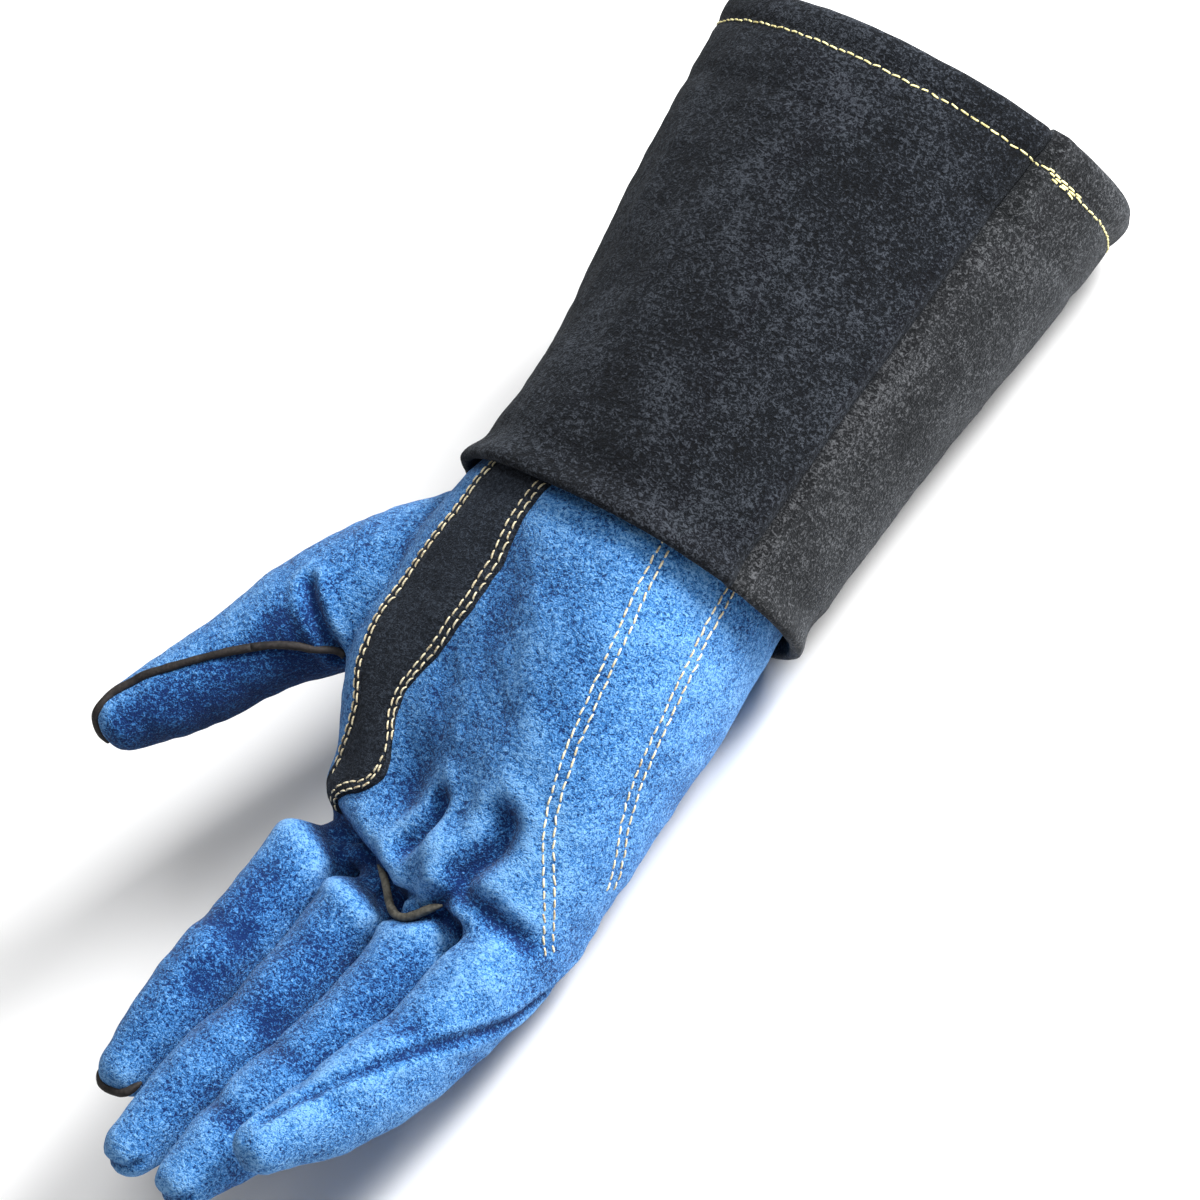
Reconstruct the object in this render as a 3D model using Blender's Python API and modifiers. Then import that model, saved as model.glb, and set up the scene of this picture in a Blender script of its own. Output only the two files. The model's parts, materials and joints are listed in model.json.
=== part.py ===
"""Welding glove for the right hand, with a gauntlet cuff, lying on its back with the palm up.

+X runs from the fingers to the cuff mouth, +Y to the thumb side and +Z out of the palm.
Lengths in the tables are millimetres in the glove's own layout: x is 0 at the cuff's lower edge,
y is 0 on the cuff's axis and z is 0 on the table. at() turns them into metres about the origin,
which is on the table at the middle of the glove's outline.
Angles round a section are degrees: 0 faces the thumb side, 90 the palm, 180 the little finger's side.
"""
import math

import bmesh
import bpy
from mathutils import Vector

MM = 0.001
OUTLINE_MIDDLE = (-32.5, 18.0)

# Leather and lining
HAND_LEATHER = 2.2
FINGER_LEATHER = 1.8
CUFF_LEATHER = 2.2
STRAP_LEATHER = 1.5
LINING = 1.2
CLEARANCE = 0.4
FREE_CLEARANCE = 0.7
SEAM_GAP = 0.9
THREAD_RADIUS = 0.5
WELT_RADIUS = 1.2

# Seams between the palm side and the back, as angles round a section
SEAM_THUMB_SIDE = 15.0
SEAM_LITTLE_SIDE = 165.0
THUMB_SEAM_NEAR = 130.0
THUMB_SEAM_FAR = -50.0

# Cuff: x, centre z, half width, half height
CUFF_SECTIONS = (
    (0.0, 42.7, 57.5, 42.5),
    (22.0, 44.2, 57.5, 42.8),
    (45.0, 45.6, 58.5, 43.8),
    (68.0, 46.9, 61.0, 45.4),
    (92.0, 48.2, 64.0, 47.3),
    (118.0, 49.5, 67.5, 50.2),
    (141.0, 50.5, 70.5, 51.3),
)
CUFF_SQUARENESS = 2.2
CUFF_SLANT = (0.042, 0.05)
HEM_DEPTH = 26.0
HEM_FOLD = 5.0
HEM_STITCH_INSET = 7.5
HEM_STITCH_GAP = 26.0
HEM_STITCH_SEAM_GAP = 3.0
HEM_LEATHER = 2.0
HEM_BULGE = 1.2
CUFF_LINING_START = 22.0
CUFF_LINING_END = 113.0

# Hand: x, centre y, centre z, half width, half height, extra height of the thumb's mound
HAND_SECTIONS = (
    (4.0, 0.0, 42.9, 50.5, 36.5, 0.0),
    (-14.0, 0.5, 41.0, 52.0, 37.0, 3.0),
    (-30.0, 1.0, 37.5, 52.5, 35.5, 6.0),
    (-48.0, 1.5, 33.5, 52.5, 32.0, 10.0),
    (-66.0, 2.0, 29.5, 52.0, 28.5, 11.0),
    (-82.0, 2.0, 24.8, 51.0, 25.6, 6.0),
    (-96.0, 2.0, 22.7, 50.0, 23.7, 1.0),
)
HAND_SQUARENESS = 2.4
MOUND_ANGLE = 45.0
MOUND_SPREAD = 26.0

# Fingers: knuckle, middle joint, end joint and tip centres, each x, y, z
FINGERS = {
    "index": ((-102.0, 37.5, 28.0), (-144.0, 35.5, 38.5), (-168.0, 34.0, 43.0), (-187.0, 33.0, 45.5)),
    "middle": ((-106.0, 12.5, 26.0), (-160.0, 12.0, 34.5), (-185.0, 11.0, 41.0), (-203.0, 10.0, 46.0)),
    "ring": ((-106.0, -12.5, 21.5), (-164.0, -12.0, 32.5), (-188.0, -12.5, 39.5), (-203.0, -13.0, 44.5)),
    "little": ((-102.0, -37.5, 20.5), (-141.0, -37.0, 28.0), (-168.0, -36.0, 38.0), (-186.0, -35.0, 49.0)),
}
FINGER_SQUARENESS = 2.2
FINGER_HALF_WIDTHS = (11.6, 11.5, 10.8, 8.6)
FINGER_HALF_HEIGHTS = (13.6, 13.2, 12.0, 9.0)
TIP_ROUNDING = ((3.5, 0.86), (6.0, 0.62), (7.5, 0.34))
TIP_LENGTH = 8.2
LINING_TIP_SHARE = 0.4

# Thumb: centre x, y, z, half width, half height; the joint is at station THUMB_JOINT
THUMB_SECTIONS = (
    (-59.0, 76.5, 55.5, 17.0, 16.8),
    (-66.0, 79.5, 56.5, 16.5, 16.0),
    (-77.0, 83.5, 57.8, 15.6, 15.0),
    (-87.0, 88.0, 59.2, 14.4, 13.8),
    (-98.0, 93.0, 61.0, 12.6, 12.2),
    (-107.5, 98.0, 63.0, 9.6, 9.6),
)
THUMB_JOINT = 2
THUMB_ROOT = (-40.0, 56.0, 50.0)
THUMB_SQUARENESS = 2.1

# Room at a knuckle, behind and ahead of its axis, on the palm side and on the back
BEND_ROOM_PALM = 5.4
BEND_ROOM_BACK = 1.8
KNUCKLE_ROOM_PALM = 8.5
KNUCKLE_ROOM_BACK = 2.5

# Reinforcing strap over the thumb's mound: x, angle of the thumb-side edge, angle of the palm-side edge
STRAP_EDGES = (
    (-10.5, 64.5, 91.0),
    (-14.0, 64.0, 90.5),
    (-30.0, 60.5, 89.0),
    (-48.0, 55.5, 84.0),
    (-66.0, 54.0, 76.0),
    (-82.0, 55.0, 77.0),
)
STRAP_END_THUMB_SIDE = -95.0
STRAP_END_PALM_SIDE = -88.0
STRAP_LIFT = 0.8
STRAP_STITCH_INSETS = (1.6, 4.4)
STRAP_END_STITCH = (0.16, 0.84)

# Welts: the base welt's first and last angle, and how far the index welt stands ahead of its tip
BASE_WELT_ANGLES = (60.0, 118.0)
INDEX_WELT_AHEAD = 4.6

# Palm stitch rows: x and angle along each of the two double rows
INNER_ROW = ((-4.0, 140.0), (-14.0, 139.0), (-30.0, 139.0), (-48.0, 141.0), (-66.0, 146.0), (-82.0, 153.0),
             (-94.5, 160.0))
OUTER_ROW = ((-4.0, 171.0), (-14.0, 172.0), (-30.0, 175.0), (-48.0, 181.0), (-66.0, 189.0), (-76.0, 195.0))
ROW_SPACING = 3.0
ROW_STEPS = 2
ROW_LIFT = 0.7

PIVOT_SIZE = 10.0

# Material colours, roughness
MATERIALS = {
    "blue_suede": ((0.045, 0.13, 0.42), 0.95),
    "black_suede": ((0.028, 0.031, 0.036), 0.96),
    "strap_suede": ((0.024, 0.026, 0.031), 0.92),
    "fleece_lining": ((0.55, 0.52, 0.45), 1.0),
    "cream_thread": ((0.72, 0.66, 0.48), 0.7),
    "yellow_thread": ((0.75, 0.66, 0.18), 0.7),
    "welt_leather": ((0.035, 0.028, 0.024), 0.85),
    "grey_welt_leather": ((0.10, 0.098, 0.085), 0.85),
}

# Joint axes' places, millimetres in the glove's layout; each body and the body it hangs on
PIVOTS = {
    "hand": ((0.0, 0.0, 0.0), None),
    "cuff": ((0.0, 0.0, 42.7), "hand"),
    "thumb_proximal": (THUMB_ROOT, "hand"),
    "thumb_distal": (THUMB_SECTIONS[THUMB_JOINT][:3], "thumb_proximal"),
}
for _finger, _stations in FINGERS.items():
    PIVOTS[_finger + "_proximal"] = (_stations[0], "hand")
    PIVOTS[_finger + "_distal"] = (_stations[1], _finger + "_proximal")


def at(point):
    """Glove layout in millimetres to metres about the origin."""
    x, y, z = point
    return Vector((x - OUTLINE_MIDDLE[0], y - OUTLINE_MIDDLE[1], z)) * MM


def lerp(a, b, share):
    return a + (b - a) * share


def steps(first, last, count):
    """count + 1 evenly spaced values from first to last."""
    return [lerp(first, last, i / count) for i in range(count + 1)]


def rounded(value, power):
    return math.copysign(abs(value) ** power, value)


class Section:
    """A rounded cross-section: a superellipse about a centre, with a side and an up direction."""

    def __init__(self, centre, side, up, half_width, half_height, squareness, mound=0.0):
        self.centre = Vector(centre)
        self.side = Vector(side)
        self.up = Vector(up)
        self.half_width = half_width
        self.half_height = half_height
        self.squareness = squareness
        self.mound = mound

    def point(self, angle, lift=0.0):
        """The point at an angle in degrees, lifted off the surface by so many millimetres."""
        turn = math.radians(angle)
        power = 2.0 / self.squareness
        across = (self.half_width + lift) * rounded(math.cos(turn), power)
        height = (self.half_height + lift) * rounded(math.sin(turn), power)
        away = (angle - MOUND_ANGLE + 180.0) % 360.0 - 180.0
        swell = self.mound * math.exp(-(away / MOUND_SPREAD) ** 2)
        across += swell * math.cos(turn)
        height += swell * math.sin(turn)
        found = self.centre + self.side * across + self.up * height
        found.z = max(found.z, -min(lift, 0.0))
        return found


def between(first, second, share):
    """The section part of the way from one section to the next."""
    return Section(
        first.centre.lerp(second.centre, share),
        first.side.lerp(second.side, share),
        first.up.lerp(second.up, share),
        lerp(first.half_width, second.half_width, share),
        lerp(first.half_height, second.half_height, share),
        first.squareness,
        lerp(first.mound, second.mound, share),
    )


def hand_sections():
    return [
        Section((x, y, z), (0, 1, 0), (0, 0, 1), wide, high, HAND_SQUARENESS, mound)
        for x, y, z, wide, high, mound in HAND_SECTIONS
    ]


def cuff_section(x, z, wide, high):
    """Cuff sections lean, so the mouth and the lower edge are not square to the cuff's axis."""
    lean_side, lean_up = CUFF_SLANT
    return Section((x, 0, z), (-lean_side, 1, 0), (-lean_up, 0, 1), wide, high, CUFF_SQUARENESS)


def section_at(sections, x):
    """The section at an x along a straight-run loft, between its own stations."""
    for first, second in zip(sections, sections[1:]):
        low, high = sorted((first.centre.x, second.centre.x))
        if low <= x <= high:
            share = (x - first.centre.x) / (second.centre.x - first.centre.x)
            return between(first, second, share)
    return sections[-1]


def axes_along(direction):
    """Side and up directions square to a direction that runs towards the fingertips."""
    side = Vector((0, 0, 1)).cross(-direction)
    side.normalize()
    up = (-direction).cross(side)
    return side, up.normalized()


def new_material(name):
    colour, roughness = MATERIALS[name]
    material = bpy.data.materials.new(name)
    material.use_nodes = True
    shader = material.node_tree.nodes["Principled BSDF"]
    shader.inputs["Base Color"].default_value = (*colour, 1.0)
    shader.inputs["Roughness"].default_value = roughness
    shader.inputs["Metallic"].default_value = 0.0
    return material


class Model:
    """The glove's collection, its materials and the empties that its bodies turn about."""

    def __init__(self):
        self.collection = bpy.data.collections.new("welding_glove")
        bpy.context.scene.collection.children.link(self.collection)
        self.materials = {name: new_material(name) for name in MATERIALS}
        self.pivots = {}
        for body, (_, parent) in PIVOTS.items():
            empty = bpy.data.objects.new(body + "_pivot", None)
            empty.empty_display_size = PIVOT_SIZE * MM
            self.collection.objects.link(empty)
            origin = self.origin(body)
            if parent:
                empty.parent = self.pivots[parent]
                origin = origin - self.origin(parent)
            empty.location = origin
            self.pivots[body] = empty

    def origin(self, body):
        place, parent = PIVOTS[body]
        return at(place) if parent else Vector((0, 0, 0))

    def add(self, name, data, body, material):
        data.materials.append(self.materials[material])
        thing = bpy.data.objects.new(name, data)
        thing.parent = self.pivots[body]
        self.collection.objects.link(thing)
        return thing

    def skin(self, name, body, material, rings, thickness, cyclic=False, tip=None, away=None):
        """A leather or fleece piece: rings of points joined into an open surface, then Solidify.

        rings are lists of points from mouth to fingertip, tip is a closing point past the last ring,
        and away moves the whole piece off its neighbour across their seam.
        """
        shift = Vector(away) if away is not None else Vector((0, 0, 0))
        origin = self.origin(body)
        mesh = bmesh.new()
        rows = [[mesh.verts.new(at(p + shift) - origin) for p in ring] for ring in rings]
        count = len(rings[0])
        spans = count if cyclic else count - 1
        for first, second in zip(rows, rows[1:]):
            for i in range(spans):
                j = (i + 1) % count
                mesh.faces.new((first[i], second[i], second[j], first[j]))
        if tip is not None:
            end = mesh.verts.new(at(tip + shift) - origin)
            for i in range(spans):
                mesh.faces.new((rows[-1][i], end, rows[-1][(i + 1) % count]))
        mesh.normal_update()
        data = bpy.data.meshes.new(name)
        mesh.to_mesh(data)
        mesh.free()
        data.shade_smooth()
        thing = self.add(name, data, body, material)
        solidify = thing.modifiers.new("thickness", "SOLIDIFY")
        solidify.thickness = thickness * MM
        solidify.offset = -1.0
        return thing

    def tube(self, name, body, material, points, radius):
        """A thread row or a piped welt: a poly curve with a round bevel and filled caps."""
        origin = self.origin(body)
        curve = bpy.data.curves.new(name, "CURVE")
        curve.dimensions = "3D"
        curve.bevel_depth = radius * MM
        curve.bevel_resolution = 1
        curve.use_fill_caps = True
        spline = curve.splines.new("POLY")
        spline.points.add(len(points) - 1)
        for knot, point in zip(spline.points, points):
            knot.co = (*(at(point) - origin), 1.0)
        return self.add(name, curve, body, material)


def rings_of(sections, angles, lift=0.0):
    return [[section.point(angle, lift) for angle in angles] for section in sections]


PALM_ANGLES = steps(SEAM_THUMB_SIDE, SEAM_LITTLE_SIDE, 16)
BACK_ANGLES = steps(SEAM_LITTLE_SIDE, SEAM_THUMB_SIDE + 360.0, 22)
FINGER_PALM_ANGLES = steps(SEAM_THUMB_SIDE, SEAM_LITTLE_SIDE, 8)
FINGER_BACK_ANGLES = steps(SEAM_LITTLE_SIDE, SEAM_THUMB_SIDE + 360.0, 11)
THUMB_UPPER_ANGLES = steps(THUMB_SEAM_FAR, THUMB_SEAM_NEAR, 9)
THUMB_LOWER_ANGLES = steps(THUMB_SEAM_NEAR, THUMB_SEAM_FAR + 360.0, 9)
LINING_ANGLES = steps(0.0, 360.0, 12)[:-1]
WIDE_LINING_ANGLES = steps(0.0, 360.0, 24)[:-1]
UP = Vector((0, 0, SEAM_GAP))
HALF_UP = UP / 2


def build_hand(model):
    sections = hand_sections()
    model.skin("palm_panel", "hand", "blue_suede", rings_of(sections, PALM_ANGLES), HAND_LEATHER, away=UP)
    model.skin("back_panel", "hand", "blue_suede", rings_of(sections, BACK_ANGLES), HAND_LEATHER)
    inset = -(HAND_LEATHER + FREE_CLEARANCE)
    model.skin("hand_lining", "hand", "fleece_lining", rings_of(sections, WIDE_LINING_ANGLES, inset), LINING,
               cyclic=True)
    build_base_welt(model, sections[-1])
    build_strap(model, sections)
    build_palm_stitches(model, sections)


def build_base_welt(model, end):
    """Piping where the middle and ring fingers' palm sides are set into the palm."""
    ahead = Vector((-WELT_RADIUS - CLEARANCE, 0, 0))
    points = [end.point(angle, -WELT_RADIUS) + ahead for angle in steps(*BASE_WELT_ANGLES, 8)]
    model.tube("finger_base_welt", "hand", "grey_welt_leather", points, WELT_RADIUS)


def strap_point(sections, x, angle, lift):
    return section_at(sections, x).point(angle, lift) + UP


def row_points(sections, row, aside, lift):
    """A thread row over the hand through (x, angle) places, moved aside by so many millimetres."""
    points = []
    for (x, angle), (next_x, next_angle) in zip(row, row[1:]):
        for share in steps(0.0, 1.0, ROW_STEPS)[:-1]:
            section = section_at(sections, lerp(x, next_x, share))
            wider = math.degrees(aside / section.half_height)
            points.append(section.point(lerp(angle, next_angle, share) + wider, lift) + UP)
    return points


def strap_end_x(share):
    return lerp(STRAP_END_THUMB_SIDE, STRAP_END_PALM_SIDE, share)


def build_strap(model, sections):
    """The reinforcing strap from the cuff over the thumb's mound to the index finger's base."""
    top = STRAP_LIFT + STRAP_LEATHER
    rings = []
    for x, thumb_edge, palm_edge in STRAP_EDGES:
        rings.append([strap_point(sections, x, angle, top) for angle in steps(thumb_edge, palm_edge, 8)])
    last_thumb, last_palm = STRAP_EDGES[-1][1:]
    ends = steps(last_thumb, last_palm, 8)
    rings.append([strap_point(sections, strap_end_x(i / 8), angle, top) for i, angle in enumerate(ends)])
    model.skin("thumb_strap", "hand", "strap_suede", rings, STRAP_LEATHER)
    lift = top + CLEARANCE + THREAD_RADIUS
    for letter, inset in zip("ab", STRAP_STITCH_INSETS):
        for edge, sign, column in (("thumb_side", 1.0, 1), ("palm_side", -1.0, 2)):
            row = [(edges[0], edges[column]) for edges in STRAP_EDGES]
            points = row_points(sections, row, sign * inset, lift)
            model.tube(f"strap_stitch_{edge}_{letter}", "hand", "cream_thread", points, THREAD_RADIUS)
        points = []
        for share in steps(*STRAP_END_STITCH, 5):
            angle = lerp(last_thumb, last_palm, share)
            points.append(strap_point(sections, strap_end_x(share) + inset, angle, lift))
        model.tube(f"strap_stitch_end_{letter}", "hand", "cream_thread", points, THREAD_RADIUS)


def build_palm_stitches(model, sections):
    """Two double rows of thread down the little finger's side of the hand."""
    lift = ROW_LIFT + THREAD_RADIUS
    for name, row in (("inner", INNER_ROW), ("outer", OUTER_ROW)):
        for letter, offset in (("a", 0.0), ("b", ROW_SPACING)):
            points = row_points(sections, row, offset, lift)
            model.tube(f"{name}_row_stitch_{letter}", "hand", "cream_thread", points, THREAD_RADIUS)


def build_cuff(model):
    sections = [cuff_section(*row) for row in CUFF_SECTIONS]
    mouth = sections[-1]
    for name, angles, away in (
        ("cuff_palm_panel", PALM_ANGLES, UP),
        ("cuff_back_panel", BACK_ANGLES, None),
    ):
        rings = rings_of(sections, angles)
        # The hem is the same leather, turned in at the mouth
        rings.append([mouth.point(angle, -HEM_FOLD / 2) + Vector((HEM_BULGE, 0, 0)) for angle in angles])
        hem_end = section_at(sections, mouth.centre.x - HEM_DEPTH)
        rings.append([mouth.point(angle, -HEM_FOLD) for angle in angles])
        rings.append([hem_end.point(angle, -HEM_FOLD) for angle in angles])
        rings.reverse()
        model.skin(name, "cuff", "black_suede", rings, HEM_LEATHER, away=away)
    inset = -(CUFF_LEATHER + FREE_CLEARANCE)
    inner = [section_at(sections, x) for x in steps(CUFF_LINING_END, CUFF_LINING_START, 5)]
    model.skin("cuff_lining", "cuff", "fleece_lining", rings_of(inner, WIDE_LINING_ANGLES, inset), LINING,
               cyclic=True)
    row = section_at(sections, mouth.centre.x - HEM_STITCH_INSET)
    lift = CLEARANCE + THREAD_RADIUS
    palm_side = [row.point(angle, lift) + UP for angle in PALM_ANGLES]
    model.tube("hem_stitch_palm_side", "cuff", "yellow_thread", palm_side, THREAD_RADIUS)
    # The rest of the row is pressed into the leather under the cuff
    for side, first, last in (
        ("little_side", SEAM_LITTLE_SIDE + HEM_STITCH_SEAM_GAP, 270.0 - HEM_STITCH_GAP),
        ("thumb_side", 270.0 + HEM_STITCH_GAP, SEAM_THUMB_SIDE + 360.0 - HEM_STITCH_SEAM_GAP),
    ):
        points = [row.point(angle, lift) for angle in steps(first, last, 12)]
        model.tube("hem_stitch_back_" + side, "cuff", "yellow_thread", points, THREAD_RADIUS)


def cut_section(centre, direction, wide, high, squareness, room_palm, room_back, ahead):
    """An end section by a joint, slanted so that both sides clear when the joint bends.

    ahead is 1 for the piece past the joint and -1 for the piece before it.
    """
    side, up = axes_along(direction)
    middle = (room_palm + room_back) / 2
    slope = (room_palm - room_back) / (2 * high)
    slanted_up = up + direction * (slope * ahead)
    return Section(Vector(centre) + direction * (middle * ahead), side, slanted_up, wide, high, squareness)


def segment_skins(model, name, body, sections, tip, panels, thickness):
    """The two leather panels and the lining of one finger or thumb segment."""
    for part, angles, away in panels:
        model.skin(f"{name}_{part}", body, "blue_suede", rings_of(sections, angles), thickness,
                   tip=tip, away=away)
    inset = -(thickness + FREE_CLEARANCE)
    lining_tip = None
    lined = sections
    if tip is not None:
        lined = sections[:-len(TIP_ROUNDING)]
        lining_tip = lined[-1].centre.lerp(tip, LINING_TIP_SHARE)
    model.skin(f"{name}_lining", body, "fleece_lining", rings_of(lined, LINING_ANGLES, inset), LINING,
               cyclic=True, tip=lining_tip)


def tip_sections(last, direction):
    """Sections that round off the end of a finger."""
    side, up = axes_along(direction)
    found = []
    for distance, share in TIP_ROUNDING:
        found.append(Section(last.centre + direction * distance, side, up, last.half_width * share,
                             last.half_height * share, last.squareness))
    return found


def build_finger(model, finger):
    knuckle, middle, end, tip = (Vector(place) for place in FINGERS[finger])
    widths, heights = FINGER_HALF_WIDTHS, FINGER_HALF_HEIGHTS
    first = (middle - knuckle).normalized()
    second = (end - middle).normalized()
    third = (tip - end).normalized()
    panels = (
        ("palm_side", FINGER_PALM_ANGLES, HALF_UP),
        ("back_side", FINGER_BACK_ANGLES, -HALF_UP),
    )
    proximal = [
        cut_section(knuckle, first, widths[0], heights[0], FINGER_SQUARENESS,
                    KNUCKLE_ROOM_PALM, KNUCKLE_ROOM_BACK, 1),
        Section((knuckle + middle) / 2, *axes_along(first), widths[0], heights[0], FINGER_SQUARENESS),
        cut_section(middle, first, widths[1], heights[1], FINGER_SQUARENESS,
                    BEND_ROOM_PALM, BEND_ROOM_BACK, -1),
    ]
    segment_skins(model, finger + "_proximal", finger + "_proximal", proximal, None, panels, FINGER_LEATHER)
    near_tip = Section(tip, *axes_along(third), widths[3], heights[3], FINGER_SQUARENESS)
    distal = [
        cut_section(middle, second, widths[1], heights[1], FINGER_SQUARENESS,
                    BEND_ROOM_PALM, BEND_ROOM_BACK, 1),
        Section(end, *axes_along((second + third).normalized()), widths[2], heights[2], FINGER_SQUARENESS),
        near_tip,
    ]
    distal += tip_sections(near_tip, third)
    segment_skins(model, finger + "_distal", finger + "_distal", distal, tip + third * TIP_LENGTH, panels,
                  FINGER_LEATHER)
    return distal


def build_index_tip_welt(model, distal):
    """Piping round the index finger's tip, along the seam between its panels."""
    lift = WELT_RADIUS + FREE_CLEARANCE
    outward = [section.point(SEAM_LITTLE_SIDE, lift) for section in distal[2:5]]
    homeward = [section.point(SEAM_THUMB_SIDE, lift) for section in reversed(distal[2:5])]
    nose = distal[-1].centre + (distal[-1].centre - distal[-3].centre).normalized() * INDEX_WELT_AHEAD
    model.tube("index_tip_welt", "index_distal", "welt_leather", outward + [nose] + homeward, WELT_RADIUS)


def thumb_section(row, direction):
    x, y, z, wide, high = row
    return Section((x, y, z), *axes_along(direction), wide, high, THUMB_SQUARENESS)


def build_thumb(model):
    rows = THUMB_SECTIONS
    centres = [Vector(row[:3]) for row in rows]
    joint = centres[THUMB_JOINT]
    before = (joint - centres[0]).normalized()
    after = (centres[-1] - joint).normalized()
    wide, high = rows[THUMB_JOINT][3:]
    split = axes_along(before)[1] * (SEAM_GAP / 2)
    panels = (
        ("upper_panel", THUMB_UPPER_ANGLES, split),
        ("lower_panel", THUMB_LOWER_ANGLES, -split),
    )
    proximal = [
        thumb_section(rows[0], before),
        thumb_section(rows[1], before),
        cut_section(joint, before, wide, high, THUMB_SQUARENESS, BEND_ROOM_PALM, BEND_ROOM_PALM, -1),
    ]
    segment_skins(model, "thumb_proximal", "thumb_proximal", proximal, None, panels, FINGER_LEATHER)
    near_tip = thumb_section(rows[-1], after)
    distal = [
        cut_section(joint, after, wide, high, THUMB_SQUARENESS, BEND_ROOM_PALM, BEND_ROOM_PALM, 1),
        thumb_section(rows[THUMB_JOINT + 2], after),
        near_tip,
    ]
    distal += tip_sections(near_tip, after)
    segment_skins(model, "thumb_distal", "thumb_distal", distal, near_tip.centre + after * TIP_LENGTH, panels,
                  FINGER_LEATHER)
    lift = WELT_RADIUS + FREE_CLEARANCE
    for name, sections in (("thumb_proximal", proximal), ("thumb_distal", distal[:-1])):
        points = [section.point(THUMB_SEAM_NEAR, lift) for section in sections]
        model.tube(name + "_welt", name, "welt_leather", points, WELT_RADIUS)


def main():
    for thing in list(bpy.data.objects):
        bpy.data.objects.remove(thing, do_unlink=True)
    model = Model()
    build_hand(model)
    build_cuff(model)
    for finger in FINGERS:
        distal = build_finger(model, finger)
        if finger == "index":
            build_index_tip_welt(model, distal)
    build_thumb(model)


main()
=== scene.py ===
"""Looks of the right-hand welding glove: soft suede skins, strap, piping, stitches and lining.

Shapes are laid out in millimetres in the glove's own layout: x is 0 at the cuff's lower edge and grows
towards the mouth, y is 0 on the cuff's axis and grows towards the thumb, z is 0 on the table.
place() turns that layout into metres in the shared frame, from the wrist joint's position.
Angles round a section are degrees: 0 faces the thumb side, 90 the palm, 180 the little finger's side.
"""
import json
import math

import bmesh
import bpy
import numpy as np
from mathutils import Matrix, Vector
from mathutils.bvhtree import BVHTree


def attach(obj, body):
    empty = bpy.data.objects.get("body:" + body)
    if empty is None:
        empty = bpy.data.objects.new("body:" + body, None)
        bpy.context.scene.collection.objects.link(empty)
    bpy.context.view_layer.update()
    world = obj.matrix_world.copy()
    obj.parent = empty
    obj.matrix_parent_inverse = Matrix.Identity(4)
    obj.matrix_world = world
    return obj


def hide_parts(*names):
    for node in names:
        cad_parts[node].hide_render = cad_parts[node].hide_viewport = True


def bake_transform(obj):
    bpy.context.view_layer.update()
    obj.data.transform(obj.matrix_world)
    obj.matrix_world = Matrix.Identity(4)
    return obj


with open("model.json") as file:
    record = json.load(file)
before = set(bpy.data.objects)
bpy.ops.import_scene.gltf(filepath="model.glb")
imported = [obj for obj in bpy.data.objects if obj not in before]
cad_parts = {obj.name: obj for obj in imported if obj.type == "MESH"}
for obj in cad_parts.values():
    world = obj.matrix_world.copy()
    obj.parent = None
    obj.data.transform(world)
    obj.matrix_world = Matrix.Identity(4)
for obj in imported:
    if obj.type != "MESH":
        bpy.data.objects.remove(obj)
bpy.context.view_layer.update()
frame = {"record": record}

MM = 0.001
JOINTS = {joint["name"]: joint for joint in frame["record"]["behaviour"]["joints"]}
WRIST = Vector(JOINTS["wrist_flex"]["pos_m"])
LAYOUT_ORIGIN = np.array([WRIST.x, WRIST.y, 0.0])

# ---- Layout of the hand, the fingers and the thumb

SEAM_THUMB_SIDE = 15.0
SEAM_LITTLE_SIDE = 165.0
CUFF_SLANT = (0.042, 0.05)
# x, centre y, centre z, half width, half height, extra height of the thumb's mound
HAND_SECTIONS = (
    (26.0, 0.0, 44.5, 49.0, 35.0, 0.0),
    (4.0, 0.0, 42.9, 50.5, 36.5, 0.0),
    (-14.0, 0.5, 41.0, 52.0, 37.0, 3.0),
    (-30.0, 1.0, 37.5, 52.5, 35.5, 6.0),
    (-48.0, 1.5, 33.5, 52.5, 32.0, 9.0),
    (-66.0, 2.0, 29.5, 52.0, 28.5, 10.0),
    (-82.0, 2.0, 25.2, 51.0, 25.2, 6.0),
    (-96.0, 1.5, 23.2, 49.5, 23.2, 1.0),
    (-104.0, 1.0, 23.5, 47.5, 19.5, 0.0),
    (-108.0, 1.0, 24.0, 46.5, 16.0, 0.0),
)
HAND_SQUARENESS = 2.4
HAND_FLOOR = 0.6
MOUND_ANGLE = 45.0
MOUND_SPREAD = 26.0
# Each finger's line: inside the palm, knuckle, middle joint, end joint, tip
FINGERS = {
    "index": ((-88.0, 37.5, 26.0), (-104.0, 37.5, 28.5), (-144.0, 35.5, 38.5), (-168.0, 34.0, 43.0),
              (-189.0, 33.0, 45.5)),
    "middle": ((-88.0, 12.5, 24.0), (-108.0, 12.5, 26.0), (-160.0, 12.0, 34.5), (-185.0, 11.0, 41.0),
               (-206.0, 10.0, 46.5)),
    "ring": ((-88.0, -12.5, 20.5), (-108.0, -12.5, 21.8), (-164.0, -12.0, 32.5), (-188.0, -12.5, 39.5),
             (-206.0, -13.0, 44.8)),
    "little": ((-86.0, -36.5, 19.5), (-104.0, -37.0, 20.8), (-141.0, -37.0, 28.0), (-168.0, -36.0, 38.0),
               (-189.0, -35.0, 49.5)),
}
FINGER_HALF_WIDTHS = (10.6, 10.5, 9.95, 9.25, 6.4)
FINGER_HALF_HEIGHTS = (12.5, 13.2, 12.7, 11.3, 7.6)
FINGER_SQUARENESS = 2.2
# How far the fingers are filled out sideways, and the x between which that comes in
FINGER_SPREAD = 1.65
FINGERS_BEGIN = (-110.0, -122.0)
# The fingers' flanks stay this far from the middle of the gap between them, from these x on
FLANK_CLEARANCE = 0.3
FLANKS_FREE = (-113.0, -118.0)
TIP_RUN = 7.0
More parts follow.
